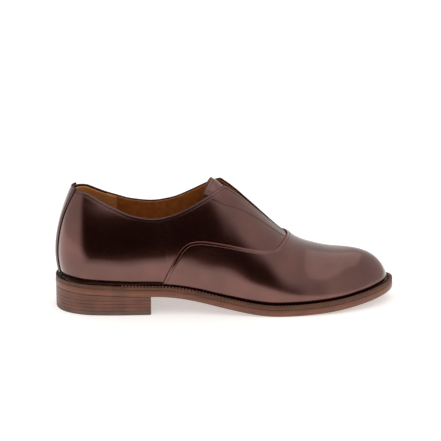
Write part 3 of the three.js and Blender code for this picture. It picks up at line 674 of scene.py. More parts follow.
# %% [markdown]
# ## Inside the shoe
# Smooth tan calf lines the quarters, a napped suede grips the heel, and the tongue lies under the facings with its
# own lining. Two strips of elastic, faced with the same calf, join the facings to the shoe under the leather.

# %% Make the linings, the elastic and the tongue


def lining(name, first, last, low, top, depth, thickness, rows=40, columns=150):
    """A lining between two places around, from a low level to a top level, at a depth under the last's face."""
    around = np.linspace(first, last, columns)
    level = levels_between(low(around), top(around), rows)
    around = per_row(around, rows)
    return sheet(name, [(laid(around, level, depth), laid(around, level, depth + thickness))])


LINING_FOOT = 0.01  # linings end just above the feather edge, where the sock liner hides them


def lining_top(around):
    """The lining ends just under the topline, and beside the elastic where that begins."""
    beside = GORE_WIDTH + 0.9
    shift = smoothstep(foot_fraction(around), GORE_START - 0.02, GORE_START)
    return upper_edge(around, 0.5, 0.5) * (1 - shift) + upper_edge(around, beside, 0.5) * shift


inside = {}
for side, name in ((-1, "outer"), (1, "inner")):
    inside[name] = lining(f"lining_leather_{name}", side * step_at(LINING_JOIN), side * step_at(GORE_END),
                          lambda a: np.maximum(lap_level(a), LINING_FOOT), lining_top, LINING_DEPTH, LINING, 60, 220)
    inside[f"elastic_{name}"] = lining(
        f"elastic_{name}", side * step_at(GORE_START), side * step_at(GORE_END),
        lambda a: beside_facing(a, GORE_WIDTH + 0.3), lambda a: upper_edge(a, 0.6, 0.6), LINING_DEPTH, LINING, 16, 90,
    )

HEEL_EDGE = step_at(HEEL_LINING_END)


def heel_grip_piece():
    """The suede at the heel, with its distance from the row of thread beside each front edge."""
    around = np.linspace(-HEEL_EDGE, HEEL_EDGE, 170)
    level = levels_between(np.full(170, LINING_FOOT), upper_edge(around, 0, 0.4), 64)
    around = per_row(around, level.shape[1])
    thread = distance_to(on_last(around, level), np.concatenate([on_last(*row) for row in grip_rows()]))
    layers = [(laid(around, level, HEEL_LINING_DEPTH - 0.2), laid(around, level, HEEL_LINING_DEPTH + LINING))]
    return sheet("heel_grip_suede", layers, {"thread": [thread]})


def grip_rows():
    """Beside each front edge of the suede, one row of thread from the feather edge to the topline."""
    step = step_at(HEEL_LINING_END - 0.007)
    return [(np.full(200, side * step), np.linspace(0.05, float(upper_edge(np.array([side * step]), 0, 2)[0]), 200))
            for side in (-1, 1)]


heel_grip = heel_grip_piece()


def front_lining_piece():
    """The cloth inside the vamp, from the quarter linings to the toe, its halves joined along the spine."""
    steps = np.concatenate([np.linspace(step_at(LINING_START), step_at(QUARTER_END), 60),
                            np.linspace(step_at(QUARTER_END), 1, 70)[1:]])
    layers = []
    for side in (-1, 1):
        around = side * steps
        top = np.where(steps > step_at(QUARTER_END) + 1e-9, 1.0, lap_level(around, 0.6))
        level = levels_between(np.full(len(around), LINING_FOOT), top, 40)
        around = per_row(around, 40)
        layers.append((laid(around, level, LINING_DEPTH), laid(around, level, LINING_DEPTH + LINING)))
    return sheet("vamp_lining_cloth", layers)


front_lining = front_lining_piece()


def tongue_place(run, across):
    """A place on the tongue: run from its base to its arched end, across from edge to edge by true distance."""
    end = TONGUE_END + TONGUE_ARCH * (1 - across ** 2)
    along = TONGUE_BASE + (end - TONGUE_BASE) * run
    base_width, end_width = TONGUE_HALF_WIDTHS
    width = base_width + (end_width - base_width) * (along - TONGUE_BASE) / (TONGUE_END - TONGUE_BASE)
    around = np.where(across < 0, -1, 1) * step_at(along)
    drop = TONGUE_DROP * smoothstep(-along, -TONGUE_BASE, -TONGUE_END)
    return around, level_from_spine(around, np.abs(across) * width), drop


def tongue_piece(name, depth, thickness):
    """A layer of the tongue, at a depth that grows towards its top."""
    run, across = np.meshgrid(np.linspace(0, 1, 110), np.linspace(-1, 1, 61), indexing="ij")
    around, level, drop = tongue_place(run, across)
    edge = np.minimum((1 - np.abs(across)) * 17, (1 - run) * 65)
    outer = laid(around, level, depth + drop - 0.3 * relief(on_last(around, level)))
    inner = laid(around, level, depth + drop + thickness)
    return sheet(name, [(outer, inner)], {"thread": [np.abs(edge - 2)]})


tongue = tongue_piece("tongue_leather", TONGUE_DEPTH, LEATHER)
tongue_back = tongue_piece("tongue_lining_leather", TONGUE_LINING_DEPTH - 0.15, LINING)
print("inside:", [o.name for o in (*inside.values(), heel_grip, front_lining, tongue, tongue_back)])

# %% [markdown]
# ## Thread
# A lockstitch shows as short raised beads with a dip between them. One bead is a fat little spindle of 36 faces, and
# a row is that bead repeated at an even pitch along a line on the leather, turned to the line and to the surface.

# %% Sew a row


def bead():
    """A spindle along x from -1 to 1 with radius sqrt(1 - 0.9 t^2): five rings of six points, and two poles."""
    t = np.linspace(-0.86, 0.86, 5)
    angle = np.arange(6) * np.pi / 3
    radius = np.sqrt(1 - 0.9 * t * t)
    wide, high = (np.outer(radius, wave(angle)).ravel() for wave in (np.cos, np.sin))
    rings = np.stack([np.repeat(t, 6), wide, high], axis=1)
    points = np.concatenate([rings, [[-1, 0, 0], [1, 0, 0]]])
    ring = np.arange(30).reshape(5, 6)
    after = np.roll(ring, -1, axis=1)
    sides = np.stack([ring[:-1], ring[1:], after[1:], after[:-1]], axis=-1).reshape(-1, 4)
    start = np.stack([np.full(6, 30), ring[0], after[0], after[0]], axis=-1)
    end = np.stack([np.full(6, 31), after[-1], ring[-1], ring[-1]], axis=-1)
    return points, facing_out(points, np.concatenate([sides, start, end]))


BEAD_POINTS, BEAD_FACES = bead()


def sampled(at, length, line):
    """The points of a line at given lengths along it."""
    return np.stack([np.interp(at, length, values) for values in line.T], axis=1)


def sew(name, lines, pitch, width, lift=0.1, slant=0.0, fill=0.84):
    """Beads along lines of (points, normals): centre + along t + side s + normal (n + lift - sag t^2)."""
    placed = []
    for line, normal in lines:
        length = run_along(line)
        at = np.arange(pitch / 2, length[-1] - pitch / 4, pitch)
        centre = sampled(at, length, line)
        ahead = sampled(at + 0.3, length, line) - sampled(at - 0.3, length, line)
        up = unit(sampled(at, length, normal))
        side = unit(np.cross(up, ahead))
        along = unit(np.cross(side, up)) + slant * side
        t, s, n = (BEAD_POINTS[None, :, k, None] for k in range(3))
        placed.append(centre[:, None] + along[:, None] * t * pitch * fill / 2 + side[:, None] * s * width / 2
                      + up[:, None] * (n * width / 2 + lift - 0.9 * width * 0.5 * t * t))
    points = np.concatenate(placed)
    faces = (BEAD_FACES[None] + np.arange(len(points))[:, None, None] * len(BEAD_POINTS)).reshape(-1, 4)
    return make_piece(name, points.reshape(-1, 3), faces)


def on_layer(row, depth):
    """A row of (around, level) as points at a depth, with the last's normals."""
    around, level = row
    return laid(around, level, depth), outward(around, level)


PITCH, THREAD_WIDTH = 1.25, 0.36  # fine dress stitching, about 20 stitches to the inch
seen = stitch_level > 0.12
threads = {"neck_thread": sew("neck_thread", [on_layer((stitch_around[seen], stitch_level[seen]), 0.18)], PITCH, 0.42)}
for side, name in ((-1, "outer"), (1, "inner")):
    rows = [on_layer(row, QUARTER_DEPTH + 0.06) for row in quarter_rows(side)]
    threads[name] = sew(f"quarter_thread_{name}", rows, PITCH, THREAD_WIDTH)
threads["strip"] = sew("back_strip_thread", [on_layer(row, 0.42) for row in strip_rows], PITCH, THREAD_WIDTH)


grip_lines = [on_layer(row, HEEL_LINING_DEPTH + LINING) for row in grip_rows()]
threads["grip"] = sew("heel_grip_thread", [(line, -normal) for line, normal in grip_lines], 1.8, 0.4)
print("rows of thread:", {name: len(o.data.polygons) // 36 for name, o in threads.items()}, "stitches")

# %% [markdown]
# ## The bottom
# Outsole, heel lifts and rubber top piece are slabs of the same outline, cut, stacked and trimmed together. A slab
# is a rounded profile carried round its outline, with each point of one side joined across to its pair.

# %% Make the slabs


def slab(name, path, low, high, radius, bow=0.0):
    """A closed slab: rings of the outline moved in by radius (1 - sin) and up by radius (1 - cos), bowed between."""
    count = len(path)
    along = np.roll(path, -1, axis=0) - np.roll(path, 1, axis=0)
    out = unit(np.stack([along[:, 1], -along[:, 0]], axis=1))
    area = np.sum(path[:, 0] * np.roll(path[:, 1], -1) - path[:, 1] * np.roll(path[:, 0], -1))
    out = out if area > 0 else -out
    turn = np.linspace(0, np.pi / 2, 5)
    moved = np.concatenate([[-radius - 1.5], radius * (np.sin(turn) - 1)])
    raised = np.concatenate([[0], radius * (1 - np.cos(turn))])
    middle = np.linspace(0, 1, 7)[1:-1]
    rings = [(moved[k], low + raised[k]) for k in range(6)]
    rings += [(bow * 4 * m * (1 - m), low + radius + (high - low - 2 * radius) * m) for m in middle]
    rings += [(moved[k], high - raised[k]) for k in range(5, -1, -1)]
    points = np.concatenate([np.column_stack([path + out * d, z]) for d, z in rings])
    index = np.arange(len(points)).reshape(len(rings), count)
    after = np.roll(index, -1, axis=1)
    walls = np.stack([index[:-1], after[:-1], after[1:], index[1:]], axis=-1).reshape(-1, 4)
    i = np.arange(count // 2)
    pair, next_pair = (count - i) % count, (count - i - 1) % count
    top = np.stack([index[-1][i], index[-1][i + 1], index[-1][next_pair], index[-1][pair]], axis=1)
    bottom = np.stack([index[0][pair], index[0][next_pair], index[0][i + 1], index[0][i]], axis=1)
    faces = facing_out(points, np.concatenate([walls, top, bottom]))
    return make_piece(name, points, faces)


def even_path(path, count, corner):
    """A closed outline resampled at equal spacing, its corners rounded by a bell of the given size in samples."""
    closed = np.concatenate([path, path[:1]])
    length = run_along(closed)
    at = np.linspace(0, length[-1], count, endpoint=False)
    even = sampled(at, length, closed)
    reach = int(4 * corner) + 1
    padded = np.concatenate([even[-reach:], even, even[:reach]])
    return np.stack([bell(padded[:, k], corner) for k in range(2)], axis=1)


def whole_path(margin, count=720):
    """The outline of the whole foot with a margin, from the heel's back along the inner side and round."""
    around = np.concatenate([np.linspace(start, start + 1, count // 2, endpoint=False) for start in (0, -1)])
    return edge_point(around, margin(around))


def outer_margin(around):
    return sole_margin(foot_fraction(around))


heel_around = np.linspace(0, step_at(BREAST), 200)
heel_inner, heel_outer = (edge_point(side * heel_around, outer_margin(side * heel_around)) for side in (1, -1))
breast = heel_inner[-1] + (heel_outer[-1] - heel_inner[-1]) * np.linspace(0, 1, 60)[1:-1, None]
HEEL_PATH = even_path(np.concatenate([heel_inner, breast, heel_outer[:0:-1]]), 400, 1.6)

outsole_path = whole_path(outer_margin)
sole_low, sole_high = sole_bottom(outsole_path[:, 0]), outsole_top(outsole_path[:, 0]) + 0.12
outsole = slab("outsole_edge", outsole_path, sole_low, sole_high, 0.5, 0.25)
lifts = {}
for lift in ("heel_lift_1", "heel_lift_2", "heel_lift_3"):
    low, high = (corner[2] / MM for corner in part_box(lift))
    lifts[lift] = slab(f"{lift}_leather", HEEL_PATH, np.full(400, low - 0.1), np.full(400, high + 0.1), 0.14)
seat_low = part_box("heel_seat_lift")[0][2] / MM
seat_high = sole_bottom(HEEL_PATH[:, 0]) - 0.12
lifts["heel_seat_lift"] = slab("heel_seat_leather", HEEL_PATH, np.full(400, seat_low - 0.1), seat_high, 0.14)
rubber_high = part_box("top_piece")[1][2] / MM
top_piece = slab("top_piece_rubber", HEEL_PATH, np.zeros(400), np.full(400, rubber_high + 0.1), 0.35)


def sock_margin(around):
    """In from the feather edge by all the layers of the upper, and by its lean at the sock liner's height."""
    rib = ribs(around)
    lean = inset(rib, level_at_height(around, rib[1] + 11))
    return -(5.6 + np.maximum(0, lean))


sock_path = whole_path(sock_margin, 480)
sock_high = outsole_top(sock_path[:, 0]) + 5.2 + 2.5 + 0.3
sock_liner = slab("sock_liner_leather", sock_path, sock_high, sock_high + 1.4, 0.5)
print("the bottom:", outsole.name, *lifts, top_piece.name, sock_liner.name)

# %% [markdown]
# ## Welt and rand
# The welt is a strip of leather around the forepart that the upper and the outsole are both sewn to. The rand
# carries it on around the heel. Both are a flat strip between two margins, and a wheel has pressed the welt's top
# into even notches, with a waxed thread showing between them.

# %% Make the welt and its stitches
WELT_PITCH, WELT_STITCH = 2.6, 1.35  # between stitches, and in from the sole's edge
# the gutter is a real groove, and the welt's finish also paints near-black shade into it
GUTTER, GUTTER_FROM, GUTTER_TO = 1.7, 0.6, 2.4  # the dark gap beside the upper: its depth and its two edges


def strip(name, around, roundness=0.3):
    """A strip from just outside the upper's foot to the sole's edge, with the length along it as an attribute."""
    rib = ribs(around)
    lean = inset(rib, level_at_height(around, rib[1] + WELT + QUARTER_DEPTH))
    no_vamp = QUARTER_DEPTH * (1 - smoothstep(foot_fraction(around), 0.3, 0.335))
    inner_margin = CLEARANCE + np.maximum(0, -lean) - 1.0 - no_vamp
    share = np.linspace(0, 1, 9)
    margin = inner_margin[:, None] + (outer_margin(around) - 0.35 - inner_margin)[:, None] * share
    plan = edge_point(per_row(around, 9), margin)
    low = outsole_top(plan[..., 0]) + CLEARANCE - 0.1
    along = per_row(run_along(edge_point(around, outer_margin(around))), 9)
    pressed = smoothstep(share, 0.35, 0.6) * (1 - smoothstep(share, 0.9, 1))
    notch = 0.16 * np.cos(2 * np.pi * along / WELT_PITCH) * pressed
    from_upper = margin - inner_margin[:, None]
    # the groove's depth, which is also the mask for the painted shade in the welt's finish
    crease = GUTTER * (1 - smoothstep(from_upper - 1.2 * no_vamp[:, None], GUTTER_FROM, GUTTER_TO))
    high = low + WELT - crease + notch * (name == "welt_leather")
    faces = tuple(np.concatenate([plan, z[..., None]], axis=-1) for z in (high, low))
    return sheet(name, [faces], {"along": [along], "crease": [crease]}, roundness)


first = float(step_at(WELT_START))
welt = strip("welt_leather", np.linspace(first, 2 - first, 1500))
rand = strip("heel_rand_leather", np.linspace(-first + 0.002, first - 0.002, 260))
sewn = np.linspace(first + 0.01, 2 - first - 0.01, 3000)
sewn_margin = outer_margin(sewn) - WELT_STITCH
welt_plan = edge_point(sewn, sewn_margin)
welt_line = np.column_stack([welt_plan, outsole_top(welt_plan[:, 0]) + CLEARANCE + WELT])
upright = np.tile([0.0, 0, 1], (3000, 1))
threads["welt"] = sew("welt_thread", [(welt_line, upright)], WELT_PITCH, 0.8, lift=0.02, slant=0.25, fill=0.78)
print("the welt is sewn with", len(threads["welt"].data.polygons) // 36, "stitches")

# %% [markdown]
# ## Finishes
# Each finish is a node material named for the real stuff. One helper adds a node with its settings and links. Colours
# are written as on a screen and turned to linear light, and patterns read the piece's own Object coordinates, so a
# scale is one divided by a real size in metres.

# %% Helpers for finishes


def linear(code):
    """A hex colour as linear light: c / 12.92 up to 0.04045, else ((c + 0.055) / 1.055) to the power 2.4."""
    shown = np.array([int(code[k:k + 2], 16) for k in (1, 3, 5)]) / 255
    light = np.where(shown <= 0.04045, shown / 12.92, ((shown + 0.055) / 1.055) ** 2.4)
    return (*light.tolist(), 1.0)


def node(tree, kind, inputs=None, **settings):
    """Adds one node. Settings are its own properties, and inputs are plain values or other nodes' outputs."""
    made = tree.nodes.new("ShaderNode" + kind)
    for key, value in settings.items():
        setattr(made, key, value)
    for key, value in (inputs or {}).items():
        if isinstance(value, bpy.types.NodeSocket):
            tree.links.new(value, made.inputs[key])
        else:
            made.inputs[key].default_value = value
    return made


def finish(name, sockets):
    """A new material with these values on its shader, its tree, its shader and its Object coordinates."""
    made = bpy.data.materials.new(name)
    made.use_nodes = True
    shader = made.node_tree.nodes["Principled BSDF"]
    for key, value in sockets.items():
        shader.inputs[key].default_value = value
    return made, made.node_tree, shader, node(made.node_tree, "TexCoord").outputs["Object"]


print("oxblood in linear light:", [round(c, 3) for c in linear("#6f4c46")[:3]])

# %% [markdown]
# ### Oxblood box calf
# Chrome-tanned calf is plated smooth under heat and then finished with wax, cream and a last glaze. The eye gets a
# deep brown-red body and a bright, slightly warm mirror above it, as on patent leather but softer. A partly metallic
# base gives that tinted mirror, and a thin clear coat gives the sharper one on top. Pores are about 0.3 mm apart on
# the hide, too fine to see here, so they are drawn at 0.9 mm.

# %% Make the box calf


def box_calf(name, body, deep, raw, metallic, roughness):
    """Glazed calf: two tones by a slow cloud, dark needle holes along a row, a dull red cut edge, fine pores."""
    made, tree, shader, place = finish(name, {"Coat Weight": 1.0, "Coat Roughness": 0.11, "Coat IOR": 1.6})
    cloud = node(tree, "TexNoise", {"Vector": place, "Scale": 1 / 0.028, "Detail": 4.0, "Roughness": 0.55})
    pores = node(tree, "TexNoise", {"Vector": place, "Scale": 1 / 0.0009, "Detail": 2.0})
    share = node(tree, "MapRange", {"Value": cloud.outputs["Fac"], 1: 0.35, 2: 0.65})
    hide = node(tree, "Mix", {0: share.outputs[0], 6: linear(deep), 7: linear(body)}, data_type="RGBA").outputs[2]
    thread = node(tree, "Attribute", attribute_name="thread").outputs["Fac"]
    edge = node(tree, "Attribute", attribute_name="edge").outputs["Fac"]
    groove = node(tree, "MapRange", {"Value": thread, 1: 0.2, 2: 0.75})
    groove_share = node(tree, "Math", {0: 0.55, 1: groove.outputs[0]}, operation="MAXIMUM")
    sewn = node(tree, "Mix", {0: groove_share.outputs[0], 6: linear("#1c0f0d"), 7: hide}, data_type="RGBA")
    cut = node(tree, "Mix", {0: edge, 6: sewn.outputs[2], 7: linear(raw)}, data_type="RGBA").outputs[2]
    shine = node(tree, "MapRange", {"Value": edge, 3: metallic, 4: 0.0})
    dull = node(tree, "MapRange", {"Value": edge, 3: roughness, 4: 0.6})
    bump = node(tree, "Bump", {"Height": pores.outputs["Fac"], "Distance": 0.00002, "Strength": 0.35})
    tree.links.new(cut, shader.inputs["Base Color"])
    for key, made_by in (("Metallic", shine), ("Roughness", dull), ("Normal", bump)):
        tree.links.new(made_by.outputs[0], shader.inputs[key])
    return made


oxblood = box_calf("oxblood_box_calf", "#704036", "#5d3128", "#4c1f19", 0.96, 0.23)
skived = box_calf("oxblood_box_calf_skived", "#704036", "#5d3128", "#7c332a", 0.96, 0.23)
# a copy for the back strip and the tongue: its rougher glaze is real, and its slightly lighter colours are painted
# light falling on the strip
rougher_lighter_calf = box_calf("box_calf_rougher_painted_lighter", "#74443a", "#5f352c", "#4c1f19", 0.92, 0.32)
print("made", oxblood.name, skived.name, "and", rougher_lighter_calf.name)

# %% [markdown]
# ### Linings and thread
# The lining is vegetable-tanned calf, left its natural tan and only lightly glazed. The heel grip is the same hide
# turned flesh side out, so it is paler and has a nap, which sheen shows as a soft rim. Thread is twisted polyester:
# its twist is too fine to draw, so a small noise gives each bead light and dark flecks. The cut edges are inked.

# %% Make linings and thread


def two_tone(tree, shader, share, light, dark, height, depth, strength):
    """Mixes dark to light by a share into the colour, and turns a height into a bump."""
    tone = node(tree, "Mix", {0: share.outputs[0], 6: linear(dark), 7: linear(light)}, data_type="RGBA")
    bump = node(tree, "Bump", {"Height": height.outputs["Fac"], "Distance": depth, "Strength": strength})
    tree.links.new(tone.outputs[2], shader.inputs["Base Color"])
    tree.links.new(bump.outputs[0], shader.inputs["Normal"])


def soft_finish(name, light, dark, roughness, size, stretch=(1, 1, 1), depth=0.00005, strength=0.3, sockets=None):
    """A dull natural surface: two tones and a bump from one noise of a real size, stretched along the axes."""
    made, tree, shader, place = finish(name, {"Roughness": roughness, "IOR": 1.5, **(sockets or {})})
    laid_out = node(tree, "Mapping", {"Vector": place, "Scale": stretch}).outputs[0]
    grain = node(tree, "TexNoise", {"Vector": laid_out, "Scale": 1 / size, "Detail": 5.0, "Roughness": 0.6})
    share = node(tree, "MapRange", {"Value": grain.outputs["Fac"], 1: 0.3, 2: 0.7})
    two_tone(tree, shader, share, light, dark, grain, depth, strength)
    return made


lining_calf = soft_finish("natural_lining_calf", "#b06a2e", "#92501f", 0.45, 0.004,
                          sockets={"Coat Weight": 0.15, "Coat Roughness": 0.3})
suede = soft_finish("reversed_calf_suede", "#cc8a48", "#b07136", 0.95, 0.0016, depth=0.0002,
                    sockets={"Sheen Weight": 0.15, "Sheen Roughness": 0.5})
lining_cloth = soft_finish("cotton_drill_lining", "#b0906a", "#94744f", 0.9, 0.0012, (1, 3, 3))
red_edge = soft_finish("inked_cut_edge_red", "#7e3529", "#642419", 0.7, 0.0012)
dark_edge = soft_finish("inked_cut_edge_dark", "#4a231c", "#341510", 0.6, 0.0012)
light_thread = soft_finish("waxed_thread_light", "#9a6a60", "#7c4c44", 0.5, 0.0008)
dark_thread = soft_finish("waxed_thread_dark", "#4a2822", "#301612", 0.45, 0.0008)
tan_thread = soft_finish("waxed_thread_tan", "#d0a878", "#b08858", 0.6, 0.0008)
print("made", lining_calf.name, suede.name, lining_cloth.name, light_thread.name)

# %% [markdown]
# ### Sole leather, stacked heel and rubber
# Sole leather is oak-bark tanned and rolled hard. Its cut edge shows the hide's layers as fine level lines, and the
# maker sands it, stains it and irons it with wax, so it has a low, soft shine. The lines are about 0.3 mm apart on
# the heel, and are drawn at 0.8 mm so that they show.

# %% Make the bottom's finishes


def edge_finish(name, light, dark, roughness, line, shine=0.2):
    """An ironed leather edge: level lines of a real spacing, broken along the edge, with a thin wax coat."""
    made, tree, shader, place = finish(name, {"Roughness": roughness, "Coat Weight": shine, "Coat Roughness": 0.25})
    level = node(tree, "Mapping", {"Vector": place, "Scale": (0.045, 0.045, 1.0)}).outputs[0]
    lines = node(tree, "TexNoise", {"Vector": level, "Scale": 1 / line, "Detail": 3.0, "Roughness": 0.65})
    patch = node(tree, "TexNoise", {"Vector": place, "Scale": 1 / 0.012, "Detail": 3.0})
    both = node(tree, "Math", {0: lines.outputs["Fac"], 1: patch.outputs["Fac"]}, operation="ADD")
    share = node(tree, "MapRange", {"Value": both.outputs[0], 1: 0.75, 2: 1.25})
    two_tone(tree, shader, share, light, dark, lines, 0.00015, 0.5)
    return made


stacked = edge_finish("ironed_stacked_leather", "#76432e", "#5c3221", 0.48, 0.0008)
sole_edge = edge_finish("ironed_sole_edge", "#7c472f", "#633620", 0.45, 0.0011, 0.3)
rubber = edge_finish("moulded_heel_rubber", "#6e534a", "#57413a", 0.6, 0.0016, 0.05)
board = soft_finish("leather_fibre_board", "#a58563", "#8a6a48", 0.85, 0.0015)
cork = soft_finish("cork_paste", "#a87d4e", "#5d3f22", 0.9, 0.0016, depth=0.0003)
steel = soft_finish("cold_rolled_steel", "#b4b6b8", "#9a9c9e", 0.35, 0.0006, (0.1, 1, 1), sockets={"Metallic": 1.0})
brass = soft_finish("drawn_brass", "#c9a45a", "#a8843e", 0.3, 0.0006, sockets={"Metallic": 1.0})


def welt_finish():
    """Ironed leather, darker in the notches by the length along it, with painted shade in the groove beside the upper.
    """
    made = edge_finish("ironed_welt_leather", "#6e4226", "#4c2a18", 0.6, 0.0011, 0.05)
    tree = made.node_tree
    shader = tree.nodes["Principled BSDF"]
    along = node(tree, "Attribute", attribute_name="along").outputs["Fac"]
    turn = node(tree, "Math", {0: along, 1: 2 * math.pi / WELT_PITCH}, operation="MULTIPLY")
    wave = node(tree, "Math", {0: turn.outputs[0]}, operation="COSINE")
    share = node(tree, "MapRange", {"Value": wave.outputs[0], 1: -1.0, 2: -0.2, 3: 0.55, 4: 0.0})
    tone = shader.inputs["Base Color"].links[0].from_socket
    notched = node(tree, "Mix", {0: share.outputs[0], 6: tone, 7: linear("#2c160e")}, data_type="RGBA")
    # painted shade: the groove beside the upper is mixed towards near-black, standing in for its shadow
    crease = node(tree, "Attribute", attribute_name="crease").outputs["Fac"]
    shade = node(tree, "MapRange", {"Value": crease, 1: 0.15, 2: 0.7})
    painted_gutter_shade = node(tree, "Mix", {0: shade.outputs[0], 6: notched.outputs[2], 7: linear("#0c0605")}, data_type="RGBA")
    tree.links.new(painted_gutter_shade.outputs[2], shader.inputs["Base Color"])
    return made


welt_leather = welt_finish()
print("made", stacked.name, sole_edge.name, welt_leather.name, rubber.name)

# %% [markdown]
# ## Putting the pieces in place of their solids
# Each piece rides on its body, gets its finish, and hides the solids that it stands for. What is buried
# inside the shoe, such as the cork and the shank, keeps its solid and only gets a finish.

# %% Dress every piece


def dress(piece, made, slot_name, *nodes, body="shoe", raw=None):
    """Gives a piece its finish and its body, and hides the solids that it replaces; its slot name is not used. Faces
    whose corners are mostly on the cut edge get the raw finish, if there is one."""
    piece.data.materials.append(made)
    if raw:
        piece.data.materials.append(raw)
        mesh = piece.data
        edge, corner, first_corner = (np.zeros(n, t) for n, t in (
            (len(mesh.vertices), np.float32), (len(mesh.loops), np.int32), (len(mesh.polygons), np.int32)))
        mesh.attributes["edge"].data.foreach_get("value", edge)
        mesh.loops.foreach_get("vertex_index", corner)
        mesh.polygons.foreach_get("loop_start", first_corner)
        count = np.diff(np.append(first_corner, len(corner)))
        mostly_cut = np.add.reduceat(edge[corner], first_corner) / count > 0.4
        mesh.polygons.foreach_set("material_index", mostly_cut.astype(np.int32))
    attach(piece, body)
    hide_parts(*nodes)


dress(vamp, skived, "oxblood_leather", "vamp", raw=red_edge)
dress(back_strip, rougher_lighter_calf, "oxblood_leather", "back_strip", raw=dark_edge)
dress(tongue, rougher_lighter_calf, "oxblood_leather", "tongue", body="tongue", raw=dark_edge)
dress(tongue_back, lining_calf, "lining_leather", "tongue_lining", body="tongue")
for name, side_name in (("outer", "lateral"), ("inner", "medial")):
    dress(quarters[name], oxblood, "oxblood_leather", f"quarter_{side_name}", raw=dark_edge)
    dress(inside[name], lining_calf, "lining_leather", f"quarter_lining_{side_name}")
    dress(inside[f"elastic_{name}"], lining_calf, "elastic", f"elastic_gore_{side_name}")
for row in ("outer", "inner", "strip"):
    dress(threads[row], dark_thread, "oxblood_leather")
for row, made, slot_name in (("neck_thread", light_thread, "oxblood_leather"), ("grip", tan_thread, "heel_grip_suede"),
                             ("welt", light_thread, "sole_leather")):
    dress(threads[row], made, slot_name)
for piece, made, slot_name, node_name in (
        (front_lining, lining_cloth, "lining_leather", "vamp_lining"),
        (heel_grip, suede, "heel_grip_suede", "heel_lining"),
        (outsole, sole_edge, "sole_leather", "outsole"), (welt, welt_leather, "sole_leather", "welt"),
        (rand, welt_leather, "sole_leather", "heel_rand"), (sock_liner, lining_calf, "lining_leather", "sock_liner"),
        (top_piece, rubber, "heel_rubber", "top_piece")):
    dress(piece, made, slot_name, node_name)
for node_name, lift_piece in lifts.items():
    dress(lift_piece, stacked, "stacked_leather", node_name)
for node_name, made in (("insole", board), ("cork_filler", cork), ("shank", steel), ("toe_puff", board),
                        ("heel_counter", board), *((f"heel_nail_{k}", brass) for k in range(1, 6))):
    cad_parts[node_name].data.materials.clear()
    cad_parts[node_name].data.materials.append(made)

# %% [markdown]
# ## The studio
# Gloss shows the room more than the leather, so the room is made first. A pale floor and a pale sky give the long
# light bands, a big soft lamp hangs above, and a dark curved card in front gives the deep band along the side. The
# card is seen by reflections alone.

# %% Floor, card, lamps and sky


def stage_sheet(name, rows, colour, roughness, glow=0.0):
    """A stage surface from rows of points in metres, with a plain finish."""
    rows = np.array(rows)
    mesh = bpy.data.meshes.new(name)
    mesh.from_pydata(rows.reshape(-1, 3).tolist(), [], grid_faces(*rows.shape[:2], 0).tolist())
    paint = finish(f"{name}_paint", {"Base Color": linear(colour), "Roughness": roughness, "Specular IOR Level": 0.1,
                                     "Emission Color": linear(colour), "Emission Strength": glow})[0]
    mesh.materials.append(paint)
    made = in_scene(name, mesh)
    made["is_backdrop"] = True
    return made


def softbox(name, place, target, size, watts):
    """A rectangular lamp at a place, turned to a target."""
    lamp = bpy.data.lights.new(name, "AREA")
    lamp.shape, lamp.size, lamp.size_y, lamp.energy = "RECTANGLE", *size, watts
    made = in_scene(name, lamp)
    made.location = place
    made.rotation_euler = (Vector(target) - Vector(place)).to_track_quat("-Z", "Y").to_euler()


stage_sheet("floor", [[(-6, -6, 0), (6, -6, 0)], [(-6, 6, 0), (6, 6, 0)]], "#edebe9", 0.9, 0.55)
# the card lies on the floor, from near the shoe to 1.9 m away, and then stands up: (distance, height) rows
CARD_DISTANCE, CARD_HEIGHT, CARD_INNER_RADIUS = 1.9, 1.6, 0.27
turns = np.linspace(-75, 42, 60)  # degrees from straight ahead, outward of the shoe
profile = [(0.15, 0.003), (0.3, 0.003), (0.6, 0.004), (1.0, 0.01), (1.5, 0.02), (CARD_DISTANCE, 0.1)]
profile += [(CARD_DISTANCE, height) for height in np.linspace(0.2, CARD_HEIGHT, 15)]
rows = [[(max(reach, CARD_INNER_RADIUS) * math.sin(t), -reach * math.cos(t), height) for t in np.radians(turns)]
        for reach, height in profile]
card = stage_sheet("dark_card", rows, "#0b0707", 0.95)
reaches, heights = np.array(profile).T
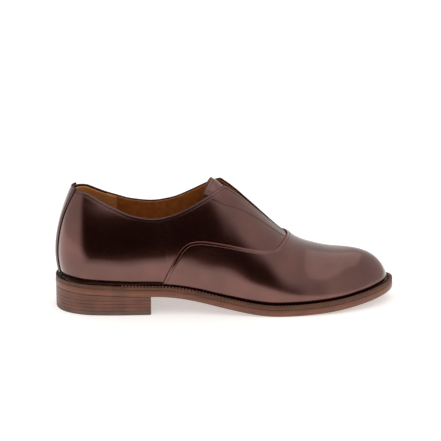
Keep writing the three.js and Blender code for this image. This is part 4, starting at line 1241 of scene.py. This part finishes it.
# it fades out at all its edges, so that no reflection ends in a hard line
cover = np.outer(smoothstep(reaches + heights, 0.13, 0.24) * (1 - smoothstep(heights, 1.05, CARD_HEIGHT)),
                 smoothstep(turns, -52, -32) * (1 - smoothstep(turns, 12, 34)))
card.data.attributes.new("cover", "FLOAT", "POINT").data.foreach_set("value", cover.ravel().astype(np.float32))
paint = card.data.materials[0].node_tree
fade = node(paint, "Attribute", attribute_name="cover")
paint.links.new(fade.outputs["Fac"], paint.nodes["Principled BSDF"].inputs["Alpha"])
card.visible_camera = card.visible_shadow = card.visible_diffuse = False
softbox("overhead", (0.1, 0.0, 1.6), (0, 0, 0), (2.8, 2.0), 7)
sky = bpy.data.worlds.new("pale_room")
sky.use_nodes = True
sky.node_tree.nodes["Background"].inputs["Color"].default_value = (1.0, 0.985, 0.97, 1)
sky.node_tree.nodes["Background"].inputs["Strength"].default_value = 0.74
bpy.context.scene.world = sky
bpy.context.scene.view_settings.view_transform = "Standard"

# %% [markdown]
# ## The camera
# A long lens a metre and a half away keeps the shoe's proportions true. It looks down a little, almost square to
# the outer side, and a small shift places the shoe in the picture without tilting the camera.

# %% Place the camera
ELEVATION, AZIMUTH, DISTANCE = 17.07, -3.15, 1.5776  # degrees, degrees, metres
SENSOR, WIDTH_SEEN = 36, 0.219294  # the sensor in millimetres, and the width in view at a distance of one
rise, turn = math.radians(ELEVATION), math.radians(AZIMUTH)
back = Vector((math.sin(turn) * math.cos(rise), -math.cos(turn) * math.cos(rise), math.sin(rise)))
target = Vector((-0.00062, 0, 0.05))
view = bpy.data.cameras.new("studio_camera")
view.lens, view.sensor_width = SENSOR / WIDTH_SEEN, SENSOR
view.shift_x, view.shift_y = -0.0082, 0.0433
view.clip_end = 50
camera = in_scene("studio_camera", view)
camera.location = target + back * DISTANCE
camera.rotation_euler = (-back).to_track_quat("-Z", "Y").to_euler()
bpy.context.scene.camera = camera
print("the lens is", round(view.lens, 1), "mm")

# %% [markdown]
# ## The sizes
# The finished shoe must stay the size of its solids, so the box of all that is shown is measured.

# %% Measure the sizes
low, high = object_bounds()
